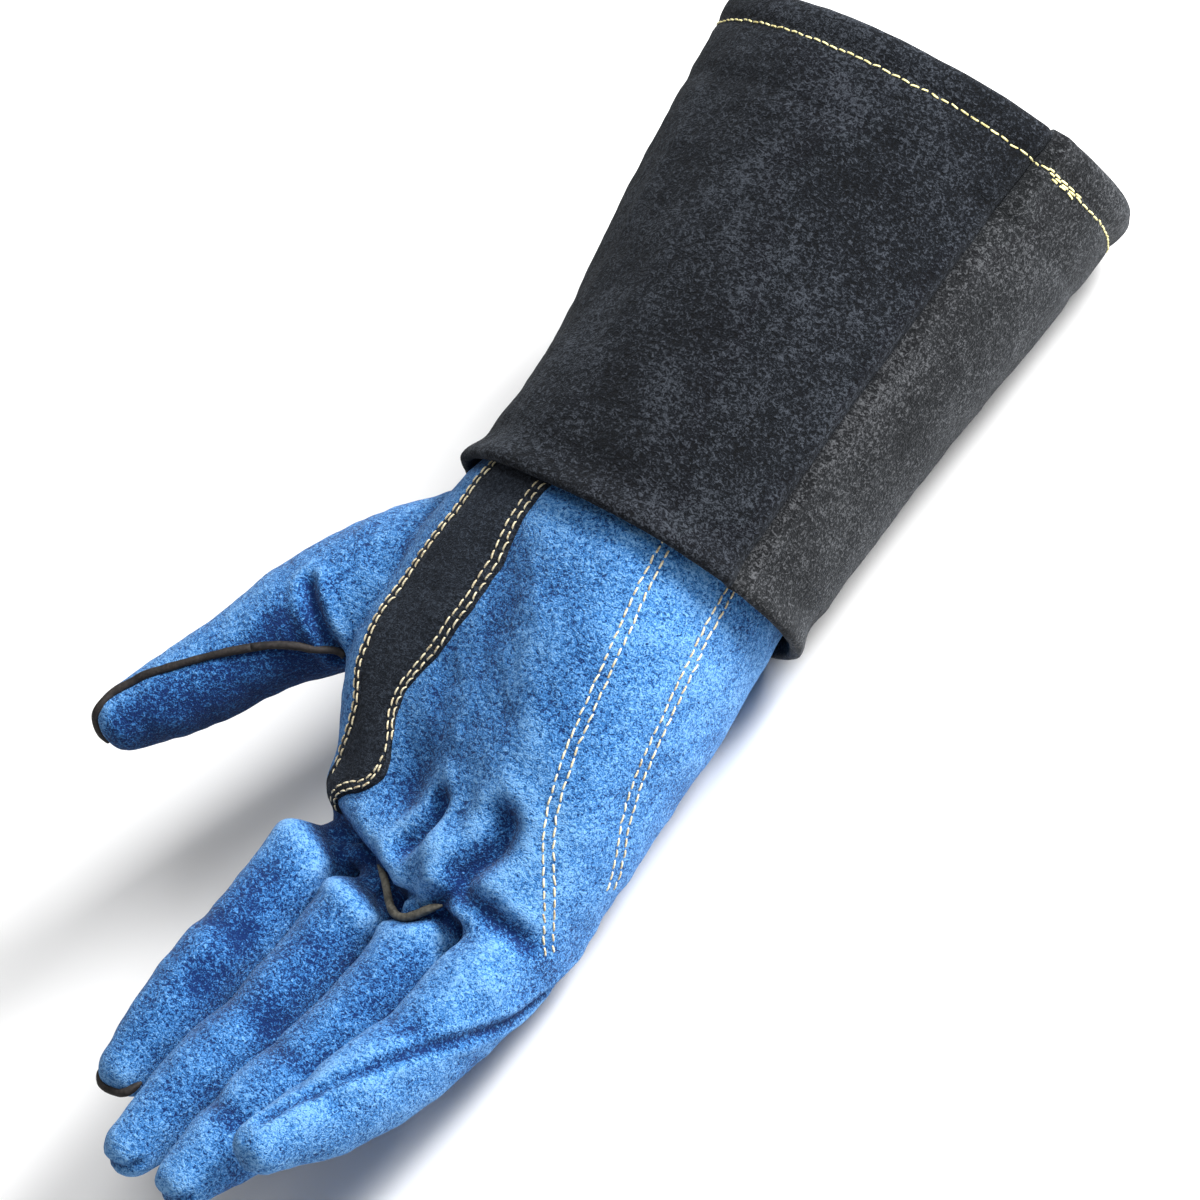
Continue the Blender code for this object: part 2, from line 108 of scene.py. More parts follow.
# Thumb: centre x, y, z, half width, half height
THUMB_SECTIONS = (
    (-14.0, 34.0, 45.0, 20.0, 18.0),
    (-30.0, 50.0, 49.0, 21.0, 19.0),
    (-46.0, 65.0, 53.0, 19.5, 18.0),
    (-61.0, 76.0, 56.0, 16.5, 16.0),
    (-76.0, 83.5, 58.0, 13.2, 13.2),
    (-89.0, 89.5, 60.0, 12.2, 12.2),
    (-100.0, 95.0, 62.3, 11.2, 11.0),
    (-110.5, 100.5, 65.0, 8.8, 9.0),
)
THUMB_SQUARENESS = 2.1
VOXEL = 1.25
SKIN_SMOOTHING = 9


def place(points):
    """Layout millimetres to metres in the shared frame."""
    return np.asarray(points, dtype=float) * MM + LAYOUT_ORIGIN


def unplace(points):
    """Metres in the shared frame to layout millimetres."""
    return (np.asarray(points, dtype=float) - LAYOUT_ORIGIN) / MM


def smoothstep(low, high, values):
    share = np.clip((values - low) / (high - low), 0.0, 1.0)
    return share * share * (3.0 - 2.0 * share)


def bell(away, reach):
    return np.exp(-(away / reach) ** 2)


def through(rows, count):
    """A smooth run of count rows through the given rows (Catmull-Rom)."""
    rows = np.asarray(rows, dtype=float)
    padded = np.vstack([2 * rows[0] - rows[1], rows, 2 * rows[-1] - rows[-2]])
    spots = np.linspace(0.0, len(rows) - 1.0, count)
    cell = np.minimum(spots.astype(int), len(rows) - 2)
    t = (spots - cell)[:, None]
    a, b, c, d = (padded[cell + k] for k in range(4))
    return 0.5 * (2 * b + (c - a) * t + (2 * a - 5 * b + 4 * c - d) * t ** 2
                  + (3 * b - a - 3 * c + d) * t ** 3)


def unit(vectors):
    vectors = np.asarray(vectors, dtype=float)
    return vectors / np.maximum(np.linalg.norm(vectors, axis=-1, keepdims=True), 1e-12)


def lengths(grid, axis=0):
    """How far along its line each point of a line or a grid is."""
    start = np.take(grid, [0], axis)
    return np.cumsum(np.linalg.norm(np.diff(grid, axis=axis, prepend=start), axis=-1), axis)


def between(spots, marks, rows):
    """Rows of numbers read off between the marks that they belong to."""
    return np.stack([np.interp(spots, marks, column) for column in rows.T], 1)


def ease(line, rounds, normals=None):
    """Even out a line, and the normals along it, in place."""
    for _ in range(rounds):
        line[1:-1] = (line[1:-1] * 2 + line[:-2] + line[2:]) / 4
        if normals is not None:
            normals[1:-1] = unit(normals[1:-1] * 2 + normals[:-2] + normals[2:])


def oval(angles, half_width, half_height, squareness, mound=0.0):
    """Across and up distances of a superellipse section with a swelling at the thumb's mound."""
    turn = np.radians(angles)
    power = 2.0 / squareness
    across = half_width * np.sign(np.cos(turn)) * np.abs(np.cos(turn)) ** power
    height = half_height * np.sign(np.sin(turn)) * np.abs(np.sin(turn)) ** power
    swell = mound * bell((angles - MOUND_ANGLE + 180.0) % 360.0 - 180.0, MOUND_SPREAD)
    return across + swell * np.cos(turn), height + swell * np.sin(turn)


def tube_rings(centres, half_widths, half_heights, squareness, angles):
    """Section rings along a line of centres that runs towards the fingertips."""
    centres = np.asarray(centres, dtype=float)
    directions = unit(np.gradient(centres, axis=0))
    sides = unit(np.cross([0.0, 0.0, 1.0], -directions))
    ups = np.cross(-directions, sides)
    rings = []
    for centre, side, up, wide, high in zip(centres, sides, ups, half_widths, half_heights):
        across, height = oval(angles, wide, high, squareness)
        rings.append(centre + across[:, None] * side + height[:, None] * up)
    return np.array(rings)


# ---- Meshes

def add_object(name, data):
    thing = bpy.data.objects.new(name, data)
    bpy.context.scene.collection.objects.link(thing)
    return thing


def mesh_object(name, vertices, faces, material=None):
    """A smooth mesh object from vertices in metres."""
    mesh = bpy.data.meshes.new(name)
    mesh.from_pydata(vertices, [], faces)
    mesh.shade_smooth()
    if material:
        mesh.materials.append(material)
    return add_object(name, mesh)


def quads_of(index):
    """The four-cornered faces of a grid of vertex numbers."""
    return np.stack([index[:-1, :-1], index[1:, :-1], index[1:, 1:], index[:-1, 1:]], -1).reshape(-1, 4)


def ring_mesh(name, rings, material=None, capped=True):
    """A mesh object from closed rings of layout points, with a fan over each end if capped."""
    rows, columns = rings.shape[:2]
    vertices = place(rings.reshape(-1, 3)).tolist()
    index = np.arange(rows * columns).reshape(rows, columns)
    index = np.hstack([index, index[:, :1]])
    faces = quads_of(index).tolist()
    for row, flip in ((0, False), (rows - 1, True)) if capped else ():
        hub = len(vertices)
        vertices.append(np.mean(place(rings[row]), axis=0).tolist())
        loop = index[row].tolist()
        faces += [[b, a, hub] if flip else [a, b, hub] for a, b in zip(loop, loop[1:])]
    return mesh_object(name, vertices, faces, material)


def read(items, field, width=1, kind=float):
    """One field of every item in a Blender collection, in rows of width numbers."""
    found = np.empty(len(items) * width, dtype=kind)
    items.foreach_get(field, found)
    return found.reshape(-1, width) if width > 1 else found


def coordinates(mesh):
    return read(mesh.vertices, "co", 3)


def normals_of(mesh):
    return read(mesh.vertices, "normal", 3)


def edge_pairs(mesh):
    return read(mesh.edges, "vertices", 2, int)


def set_coordinates(mesh, points):
    mesh.vertices.foreach_set("co", np.asarray(points, dtype=float).ravel())
    mesh.update()


def apply_modifiers(thing):
    """Replace an object's mesh with its evaluated mesh, and drop its modifiers."""
    graph = bpy.context.evaluated_depsgraph_get()
    finished = bpy.data.meshes.new_from_object(thing.evaluated_get(graph))
    thing.modifiers.clear()
    old = thing.data
    thing.data = finished
    bpy.data.meshes.remove(old)


def join(things):
    """One object from several, with their faces in one mesh."""
    target = things[0]
    combined = bmesh.new()
    for thing in things:
        combined.from_mesh(thing.data)
    combined.to_mesh(target.data)
    combined.free()
    for thing in things[1:]:
        bpy.data.objects.remove(thing, do_unlink=True)
    return target


def face_outwards(thing):
    """Close a mesh where it is open, then turn all its faces outwards."""
    mesh = bmesh.new()
    mesh.from_mesh(thing.data)
    open_edges = [edge for edge in mesh.edges if len(edge.link_faces) == 1]
    if open_edges:
        bmesh.ops.holes_fill(mesh, edges=open_edges, sides=0)
        bmesh.ops.triangulate(mesh, faces=[face for face in mesh.faces if len(face.verts) > 4])
    bmesh.ops.recalc_face_normals(mesh, faces=mesh.faces)
    mesh.to_mesh(thing.data)
    mesh.free()
    thing.data.shade_smooth()


def smoothed(points, pairs, rounds, strength=0.5):
    """Laplacian smoothing along a mesh's edges."""
    points = points.copy()
    counts = np.bincount(pairs.ravel(), minlength=len(points))[:, None]
    for _ in range(rounds):
        total = np.zeros_like(points)
        for axis in range(3):
            total[:, axis] = (np.bincount(pairs[:, 0], points[pairs[:, 1], axis], len(points))
                              + np.bincount(pairs[:, 1], points[pairs[:, 0], axis], len(points)))
        points += (total / counts - points) * strength
    return points


# ---- The hand's skin: lofts joined by a voxel remesh, then smoothed, folded and creased

def hand_loft():
    angles = np.linspace(0.0, 360.0, 96, endpoint=False)
    rings = []
    for x, y, z, wide, high, mound in through(HAND_SECTIONS, 64):
        across, height = oval(angles, wide, high, HAND_SQUARENESS, mound)
        rings.append(np.stack([np.full_like(angles, x), y + across, z + height], 1))
    rings = np.array(rings)
    rings[..., 2] = np.maximum(rings[..., 2], HAND_FLOOR)
    return ring_mesh("hand_loft", rings)


def finger_tube(finger, count):
    """The centre line of a finger and its half widths and heights."""
    sizes = np.stack([FINGER_HALF_WIDTHS, FINGER_HALF_HEIGHTS], 1)
    return through(FINGERS[finger], count), through(sizes, count)


def rounded_tube(name, line, sizes, squareness):
    """A tube along a line that ends in a rounded tip."""
    direction = unit(line[-1] - line[-2])
    turns = np.radians(np.linspace(12.0, 84.0, 8))
    nose = line[-1] + direction * (np.sin(turns) * TIP_RUN)[:, None]
    nose_sizes = sizes[-1] * np.cos(turns)[:, None] ** 0.8
    line = np.vstack([line, nose])
    sizes = np.vstack([sizes, nose_sizes])
    angles = np.linspace(0.0, 360.0, 48, endpoint=False)
    return ring_mesh(name, tube_rings(line, sizes[:, 0], sizes[:, 1], squareness, angles))


def skin_mesh():
    thumb = through(THUMB_SECTIONS, 48)
    lofts = [hand_loft(), rounded_tube("thumb_loft", thumb[:, :3], thumb[:, 3:5], THUMB_SQUARENESS)]
    lofts += [rounded_tube(finger + "_loft", *finger_tube(finger, 40), FINGER_SQUARENESS)
              for finger in FINGERS]
    skin = join(lofts)
    remesh = skin.modifiers.new("one_skin", "REMESH")
    remesh.mode = "VOXEL"
    remesh.voxel_size = VOXEL * MM
    apply_modifiers(skin)
    skin.name = "skin_source"
    points = smoothed(coordinates(skin.data), edge_pairs(skin.data), SKIN_SMOOTHING)
    set_coordinates(skin.data, points)
    return skin


# ---- Folds, creases and seams pressed into the skin: lines of x, y on the palm side seen from above

# The fold at the fingers' base, which the base welt lies along
BASE_FOLD = ((-112.0, 3.0), (-115.5, -5.0), (-115.0, -11.0), (-111.5, -16.0), (-108.0, -20.0))
# Points, half width of the groove, depth
PALM_FOLDS = (
    (((-101.0, 52.0), (-102.0, 42.0), (-104.5, 31.0), (-108.0, 20.0),
      (-110.5, 10.0), (-112.0, 3.0)), 4.2, 6.8),
    (BASE_FOLD, 2.4, 1.8),
    (((-108.0, -20.0), (-104.0, -26.0), (-103.0, -34.0), (-104.0, -42.0), (-104.0, -50.0)), 2.8, 2.6),
    (((-86.0, -7.0), (-91.0, -7.0), (-96.0, -5.0), (-100.0, -2.0)), 3.0, 3.8),
    (((-82.0, -31.0), (-88.0, -31.0), (-94.0, -28.5), (-99.0, -25.0)), 3.8, 4.8),
    (((-60.0, -14.0), (-48.0, -6.0), (-30.0, -2.0)), 9.0, 1.4),
    (((-84.0, 6.0), (-70.0, 4.0), (-56.0, 8.0)), 7.0, 1.3),
    (((-141.0, 48.0), (-143.0, 36.0), (-142.0, 24.0)), 4.0, 0.7),
    (((-157.0, 24.0), (-159.0, 12.0), (-157.0, 1.0)), 4.0, 0.7),
    (((-162.0, -1.0), (-164.0, -12.0), (-162.0, -24.0)), 4.0, 0.7),
    (((-139.0, -26.0), (-141.0, -37.0), (-139.0, -48.0)), 4.0, 0.8),
    (((-167.0, -26.0), (-169.0, -36.0), (-168.0, -46.0)), 3.6, 0.9),
    (((-184.0, -2.0), (-186.0, -12.0), (-185.0, -22.0)), 3.6, 0.8),
)
FOLD_POINTS = 24
# The rim beside a fold and beside a seam: height, distance and width in the groove's own measures
FOLD_RIM = (0.22, 2.1, 1.0)
SEAM_RIM = (0.45, 2.0, 1.1)
# x, y, reach, height of soft swellings on the palm side
PALM_SWELLS = (
    (-112.0, 45.0, 10.0, 2.0),
    (-120.0, 38.0, 14.0, 1.5),
    (-97.0, -16.0, 8.0, 2.8),
    (-86.0, 9.0, 11.0, -2.2),
    (-97.0, 17.0, 8.0, 1.6),
    (-122.0, 10.0, 12.0, 1.6),
    (-120.0, -13.0, 12.0, 1.6),
    (-116.0, -38.0, 12.0, 1.2),
    (-70.0, -34.0, 20.0, 2.0),
    (-40.0, -36.0, 22.0, 1.6),
    (-84.0, 20.0, 13.0, 1.8),
    (-152.0, -36.0, 9.0, 0.9),
    (-176.0, 11.0, 10.0, 0.8),
    (-176.0, -12.0, 10.0, 0.8),
)
# Height, seed, size and octaves of the skin's soft unevenness
SKIN_BANDS = ((0.55, 7, 34.0, 3), (0.16, 11, 7.0, 2))
# The little finger's side seam winds from the palm side at the tip to the back at the base:
# x at the tip and at the base, section angles there, how late it turns, width and depth
LITTLE_SEAM_RUN = (-187.0, -96.0)
LITTLE_SEAM_TURN = (92.0, 250.0)
LITTLE_SEAM_EASE = 1.25
LITTLE_SEAM_SIZE = (1.5, 1.5)
# Seams round the ends of the fingers that have no welt: reach ahead and aside, half the turn, width, depth
TIP_SEAM_FINGERS = ("middle", "ring")
TIP_SEAM_REACH = (12.0, 11.0)
TIP_SEAM_TURN = 70.0
TIP_SEAM_SIZE = (1.1, 0.9)
# The crease across the thumb's root: share of the thumb's length, first and last angle, width, depth
THUMB_CREASE = (0.37, 105.0, 182.0)
THUMB_CREASE_SIZE = (2.0, 2.2)
# How much painted shade darkens the suede: fingers, the thumb and its underside, folds, seams
FINGER_SHADE = (0.34, 0.32, 0.22, 0.05)
THUMB_SHADE = (0.16, 0.55)
FOLD_SHADE = 0.13
SEAM_SHADE = 0.6
# The skin's point attribute for wear, pale where the suede stands proud, and painted shade, dark in hollows,
# folds and seams, on the fingers and on the thumb; the rounds of smoothing it is measured against, and its
# reach
WEAR_AND_PAINTED_SHADE = "wear"
WEAR_AND_SHADE_ROUNDS = 26
WEAR_AND_SHADE_REACH = 1.1


def line_distance(points, line, step=1.5):
    """Distance from points to a polyline, both as rows of the same kind of coordinates."""
    line = np.asarray(line, dtype=float)
    marks = lengths(line)
    dense = between(np.linspace(0.0, marks[-1], max(int(marks[-1] / step), 2)), marks, line)
    best = np.full(len(points), 1e9)
    for a, b in zip(dense, dense[1:]):
        run = b - a
        share = np.clip(((points - a) @ run) / max(run @ run, 1e-9), 0.0, 1.0)
        best = np.minimum(best, np.linalg.norm(points - (a + share[:, None] * run), axis=1))
    return best


def winding(line, sizes, squareness, angles):
    """One place on each of a tube's sections, at that section's own angle."""
    rings = tube_rings(line, sizes[:, 0], sizes[:, 1], squareness, angles)
    own = np.arange(len(line))
    return rings[own, own]


def little_seam():
    line, sizes = finger_tube("little", 80)
    tip, base = LITTLE_SEAM_RUN
    share = np.clip((line[:, 0] - tip) / (base - tip), 0.0, 1.0)
    first, last = LITTLE_SEAM_TURN
    places = winding(line, sizes, FINGER_SQUARENESS, first + (last - first) * share ** LITTLE_SEAM_EASE)
    return places[(line[:, 0] > tip) & (line[:, 0] < base)]


def tip_arc(finger, reach, half_turn, count=40):
    """An arc round the end of a finger, from one side over the front to the other."""
    line = np.array(FINGERS[finger])
    direction = unit(line[-1] - line[-2])
    side = unit(np.cross([0.0, 0.0, 1.0], -direction))
    turns = np.radians(np.linspace(-half_turn, half_turn, count))
    ahead, across = reach
    ring = np.cos(turns)[:, None] * direction * ahead + np.sin(turns)[:, None] * side * across
    return line[-1] - direction + ring


def thumb_crease():
    rows = through(THUMB_SECTIONS, 100)
    share, first, last = THUMB_CREASE
    rings = tube_rings(rows[:, :3], rows[:, 3], rows[:, 4], THUMB_SQUARENESS, np.linspace(first, last, 20))
    return rings[int(share * 99)]


def snapped(line, points):
    """A line moved onto the nearest of the skin's points, then evened out."""
    found = np.array([points[np.argmin(np.linalg.norm(points - spot, axis=1))] for spot in line])
    ease(found, 6)
    return found


def waves(points, seed, size, octaves=3):
    """A smooth random field of about -1 to 1, from sums of sine waves in random directions."""
    random = np.random.default_rng(seed)
    total = np.zeros(len(points))
    weight = 0.0
    for octave in range(octaves):
        scale = 2.0 * math.pi / (size / 1.9 ** octave)
        strength = 0.55 ** octave
        for _ in range(9):
            direction = unit(random.normal(size=3)) * scale * random.uniform(0.6, 1.4)
            total += strength * np.sin(points @ direction + random.uniform(0.0, 6.28))
        weight += strength * 3.0
    return total / weight


def uneven(points, bands):
    return sum(height * waves(points, *band) for height, *band in bands)


def skin_shade(points, normals):
    """Painted shade: darker fingers, most on the index finger and least on the little finger, a darker thumb,
    and more on the thumb's lower side, where shade falls: 0 on the palm.
    """
    number = finger_number(points)
    fingers = smoothstep(-108.0, -128.0, points[:, 0]) * np.array(FINGER_SHADE)[number]
    on_thumb = smoothstep(54.0, 62.0, points[:, 1])
    whole, under = THUMB_SHADE
    below = smoothstep(0.0, 0.75, -(0.45 * normals[:, 0] + 0.75 * normals[:, 1]))
    return fingers + on_thumb * (whole + under * below)


def finger_limits(points):
    """The y of the three gaps between the fingers, at each point's x."""
    lines = [np.array(FINGERS[name]) for name in ("index", "middle", "ring", "little")]
    middles = [np.interp(-points[:, 0], -line[:, 0], line[:, 1]) for line in lines]
    return [(a + b) / 2 for a, b in zip(middles, middles[1:])]


def finger_number(points):
    """The number of the finger that each point is in line with, 0 for the index finger."""
    return sum((points[:, 1] < limit).astype(int) for limit in finger_limits(points))


def keep_flanks_apart(points, number):
    """Flatten the fingers' flanks where they would run into the next finger."""
    free = smoothstep(*FLANKS_FREE, points[:, 0])
    for gap, limit in enumerate(finger_limits(points)):
        near, far = limit + FLANK_CLEARANCE, limit - FLANK_CLEARANCE
        own = np.where(number <= gap, np.maximum(points[:, 1], near), np.minimum(points[:, 1], far))
        points[:, 1] += (own - points[:, 1]) * free


def groove(away, width, rim):
    """A groove's depth, 1 at its bottom, at some distance from its line, with a rim beside it."""
    height, distance, rim_width = rim
    return bell(away, width) - height * bell(away - distance * width, rim_width * width)


def sculpt_skin(skin):
    """Fill the fingers out sideways, then press folds, seams and soft unevenness into the skin, and gather
    painted shade along the folds and seams and on the fingers and thumb.
    """
    mesh = skin.data
    pairs = edge_pairs(mesh)
    points = unplace(coordinates(mesh))
    normals = normals_of(mesh)
    number = finger_number(points)
    points[:, 1] += normals[:, 1] * FINGER_SPREAD * smoothstep(*FINGERS_BEGIN, points[:, 0])
    palm_side = smoothstep(0.05, 0.55, normals[:, 2])
    move = np.zeros(len(points))
    shade = skin_shade(points, normals)
    flat = points[:, :2]
    for x, y, reach, height in PALM_SWELLS:
        away = np.linalg.norm(flat - np.array([x, y]), axis=1)
        move += height * bell(away, reach) * palm_side
    for line, width, depth in PALM_FOLDS:
        away = line_distance(flat, through(line, FOLD_POINTS))
        move -= depth * groove(away, width, FOLD_RIM) * palm_side
        # Painted shade along the fold
        shade += FOLD_SHADE * depth * bell(away, 1.25 * width)
    seams = [(little_seam(), *LITTLE_SEAM_SIZE), (thumb_crease(), *THUMB_CREASE_SIZE)]
    seams += [(tip_arc(name, TIP_SEAM_REACH, TIP_SEAM_TURN), *TIP_SEAM_SIZE) for name in TIP_SEAM_FINGERS]
    for line, width, depth in seams:
        away = line_distance(points, snapped(line, points))
        move -= depth * groove(away, width, SEAM_RIM)
        # Painted shade along the seam
        shade += SEAM_SHADE * bell(away, width)
    move += uneven(points, SKIN_BANDS)
    points += normals * move[:, None]
    points = smoothed(points, pairs, 1, 0.4)
    keep_flanks_apart(points, number)
    points[:, 2] = np.maximum(points[:, 2], 0.3)
    set_coordinates(mesh, place(points))
    mark_wear_and_painted_shade(mesh, points, pairs, shade)


def mark_wear_and_painted_shade(mesh, points, pairs, shade):
    """Store where the suede is worn pale, on what stands proud, and painted shade, darker in the hollows and
    by the shade given: 0 to 1.
    """
    even = smoothed(points, pairs, WEAR_AND_SHADE_ROUNDS)
    proud = np.einsum("ij,ij->i", points - even, normals_of(mesh)) / WEAR_AND_SHADE_REACH
    # Worn paler where proud; painted shade in the hollows and from the shade given
    values = np.clip(0.5 + 0.5 * proud - shade, 0.0, 1.0)
    values = smoothed(values[:, None].repeat(3, axis=1), pairs, 3)[:, 0]
    attribute = mesh.attributes.new(WEAR_AND_PAINTED_SHADE, "FLOAT", "POINT")
    attribute.data.foreach_set("value", values.astype(np.float32))


# ---- The skin as pieces: the hand, and two sleeves for each finger and for the thumb

# x of each finger's knuckle, and how far the leather bends past it and round its middle joint
KNUCKLES = {"index": -104.0, "middle": -105.0, "ring": -105.0, "little": -104.0}
KNUCKLE_RUN = 19.0
KNUCKLE_RISE = 4.0
BEND_RUN = 10.0
THUMB_ROOT_BEND = ((-58.0, 71.0, 54.5), (-68.5, 80.0, 56.3))
THUMB_TIP_BEND = ((-71.5, 79.8, 57.0), (-83.0, 87.2, 58.8))
THUMB_TIP_SHARE = 0.12
THUMB_SIDE = 58.0
SKIN_END = 21.0
# Where the hand's leather, and the lining, start and end their bend into the cuff
WRIST_BEND = ((-3.0, 0.0, 42.7), (17.0, 0.0, 42.7))
LINING_BEND = ((-15.0, 0.0, 42.7), (25.0, 0.0, 42.7))


def along(points, start, end):
    start, end = np.asarray(start), np.asarray(end)
    run = end - start
    return ((points - start) @ run) / (run @ run)


def finger_bends(finger):
    """Start and end of the finger's bend at the knuckle, and at its middle joint."""
    stations = np.array(FINGERS[finger])
    x, (y, z) = KNUCKLES[finger], stations[1, 1:]
    direction = unit(unit(stations[3] - stations[2]) + unit(stations[2] - stations[1]))
    middle = stations[2]
    return (((x, y, z), (x - KNUCKLE_RUN, y, z + KNUCKLE_RISE)),
            (middle - direction * BEND_RUN, middle + direction * BEND_RUN))


def split_skin(skin):
    """Each piece's faces of the skin, its two bodies, its bend and the CAD nodes that it replaces."""
    centres = unplace(read(skin.data.polygons, "center", 3))
    number = finger_number(centres)
    on_thumb = centres[:, 1] > THUMB_SIDE
    sleeves = []
    for slot, finger in enumerate(FINGERS):
        knuckle, middle = finger_bends(finger)
        whole = (number == slot) & ~on_thumb & (along(centres, *knuckle) > 0.0)
        border = (np.array(knuckle[1]) + np.array(middle[0])) / 2
        tip = whole & (along(centres, border, middle[1]) > 0.0)
        sleeves.append((finger, whole, tip, knuckle, middle, ("palm_side", "back_side")))
    whole = on_thumb & (along(centres, *THUMB_ROOT_BEND) > 0.0)
    tip = whole & (along(centres, THUMB_ROOT_BEND[1], THUMB_TIP_BEND[1]) > THUMB_TIP_SHARE)
    sleeves.append(("thumb", whole, tip, THUMB_ROOT_BEND, THUMB_TIP_BEND, ("upper_panel", "lower_panel")))
    pieces = {"hand_skin": None}
    rest = centres[:, 0] <= SKIN_END
    for finger, whole, tip, root_bend, tip_bend, sides in sleeves:
        rest &= ~whole
        bodies = ("hand", finger + "_proximal", finger + "_distal")
        for part, faces, bend, pair in (("base", whole & ~tip, root_bend, bodies[:2]),
                                        ("tip", tip, tip_bend, bodies[1:])):
            nodes = [f"{pair[1]}_{side}" for side in (*sides, "lining")]
            pieces[f"{finger}_{part}_sleeve"] = (faces, pair, bend, nodes)
    pieces["hand_skin"] = (rest, ("hand", "cuff"), WRIST_BEND, ("palm_panel", "back_panel"))
    return pieces


def cut_piece(skin, name, faces, material):
    """A new object from some of the skin's faces, with the whole skin's normals at its borders."""
    source = skin.data
    totals = read(source.polygons, "loop_total", kind=int)
    starts = read(source.polygons, "loop_start", kind=int)
    corner = read(source.loops, "vertex_index", kind=int)
    chosen = [corner[starts[f]:starts[f] + totals[f]] for f in np.flatnonzero(faces)]
    used = np.unique(np.concatenate(chosen))
    renumber = np.full(len(source.vertices), -1)
    renumber[used] = np.arange(len(used))
    piece = mesh_object(name, coordinates(source)[used].tolist(), [renumber[c].tolist() for c in chosen],
                        material)
    piece.data.normals_split_custom_set_from_vertices(normals_of(source)[used].tolist())
    # The wear and painted shade attribute, carried over to the piece
    values = read(source.attributes[WEAR_AND_PAINTED_SHADE].data, "value", kind=np.float32)
    piece.data.attributes.new(WEAR_AND_PAINTED_SHADE, "FLOAT", "POINT").data.foreach_set("value", values[used])
    return piece


def declare(piece, replaced, bodies, bend=None):
    """What a piece is in the frame: the CAD nodes it replaces, which are hidden, and, without a bend, the
    body it rides; a piece with a bend only has its transform baked.
    """
    if bend is None:
        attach(piece, bodies)
    else:
        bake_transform(piece)
    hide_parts(*replaced)


# ---- Places on the finished skin and on the cuff

def trees_of(things):
    """One ray-casting tree over several objects' meshes, in layout millimetres."""
    vertices, faces, base = [], [], 0
    for thing in things:
        points = unplace(coordinates(thing.data))
        vertices.extend(map(tuple, points))
        faces.extend([tuple(v + base for v in polygon.vertices) for polygon in thing.data.polygons])
        base += len(points)
    return BVHTree.FromPolygons(vertices, faces)


def land(tree, points, inward):
    """Where rays from far outside through the points meet the surface, and the normals there."""
    found, normals = [], []
    for point, direction in zip(points, inward):
        direction = Vector(direction).normalized()
        start = Vector(point) - direction * 60.0
        spot, normal, _, _ = tree.ray_cast(start, direction)
        if spot is None:
            spot, normal, _, _ = tree.find_nearest(Vector(point))
        if normal.dot(direction) > 0.0:
            normal = -normal
        found.append(spot)
        normals.append(normal)
    return np.array(found), np.array(normals)


def nearest(tree, points, rounds=5):
    """The nearest places on a surface, with the normals there, both eased along the line."""
    hits = [tree.find_nearest(Vector(point)) for point in points]
    found, normals = np.array([hit[0] for hit in hits]), np.array([hit[1] for hit in hits])
    ease(found, rounds, normals)
    return found, normals


def hand_section(x):
    rows = np.array(HAND_SECTIONS)
    return [float(np.interp(-x, -rows[:, 0], rows[:, k])) for k in range(1, 6)]


def land_on_hand(tree, spots):
    """Where (x, angle) spots of the hand's loft meet a surface, and the normals there."""
    points, inward = [], []
    for x, angle in spots:
        y, z, wide, high, mound = hand_section(x)
        across, height = oval(np.array([angle]), wide, high, HAND_SQUARENESS, mound)
        points.append((x, y + across[0], z + height[0]))
        turn = math.radians(angle)
        inward.append((0.0, -math.cos(turn), -math.sin(turn)))
    return land(tree, np.array(points), np.array(inward))


# ---- Thread and piping

STITCH_PITCH = 3.1
STITCH_LENGTH = 2.9
STITCH_RINGS = 7
STITCH_SIDES = 8
# Random spread of a stitch's slant, length and place aside
STITCH_SPREAD = (0.10, 0.06, 0.10)
THREAD = 0.29


def stitch_mesh(name, runs, material, seed):
    """Every stitch of some rows as its own short arched thread, its ends sunk into the leather.

    runs is a list of (points, normals) lines on a surface, in layout millimetres.
    """
    random = np.random.default_rng(seed)
    shares = np.linspace(-0.5, 0.5, STITCH_RINGS)
    turns = np.linspace(0.0, 2.0 * math.pi, STITCH_SIDES, endpoint=False)
    turned_aside, turned_out = np.cos(turns)[:, None], 0.85 * np.sin(turns)[:, None]
    height = 0.62 * THREAD - 1.9 * THREAD * np.abs(2.0 * shares) ** 4
    thick = THREAD * (1.0 - 0.28 * np.abs(2.0 * shares) ** 3)
    own = np.arange(STITCH_RINGS * STITCH_SIDES).reshape(STITCH_RINGS, STITCH_SIDES)
    quads = quads_of(np.hstack([own, own[:, :1]]).T)
    vertices, faces = [], []
    for points, normals in runs:
        marks = lengths(points)
        count = int(marks[-1] / STITCH_PITCH)
        for number in range(count):
            slant, longer, aside = (random.normal(0.0, spread) for spread in STITCH_SPREAD)
            middle = (number + 0.5) * marks[-1] / count
            spots = np.clip(middle + shares * STITCH_LENGTH * (1.0 + longer), 0.0, marks[-1])
            line, out = between(spots, marks, points), unit(between(spots, marks, normals))
            side = unit(np.cross(out, unit(np.gradient(line, axis=0))))
            line = line + out * height[:, None] + side * (aside + slant * shares * STITCH_LENGTH)[:, None]
            radii = thick[:, None] * (1.0 + 0.10 * np.sin(3.0 * turns + number))
            base = len(vertices)
            vertices += (line[:, None] + radii[..., None]
                         * (turned_aside * side[:, None] + turned_out * out[:, None])).reshape(-1, 3).tolist()
            faces += (quads + base).tolist() + [(own[0, ::-1] + base).tolist(), (own[-1] + base).tolist()]
    return mesh_object(name, place(vertices).tolist(), faces, material)


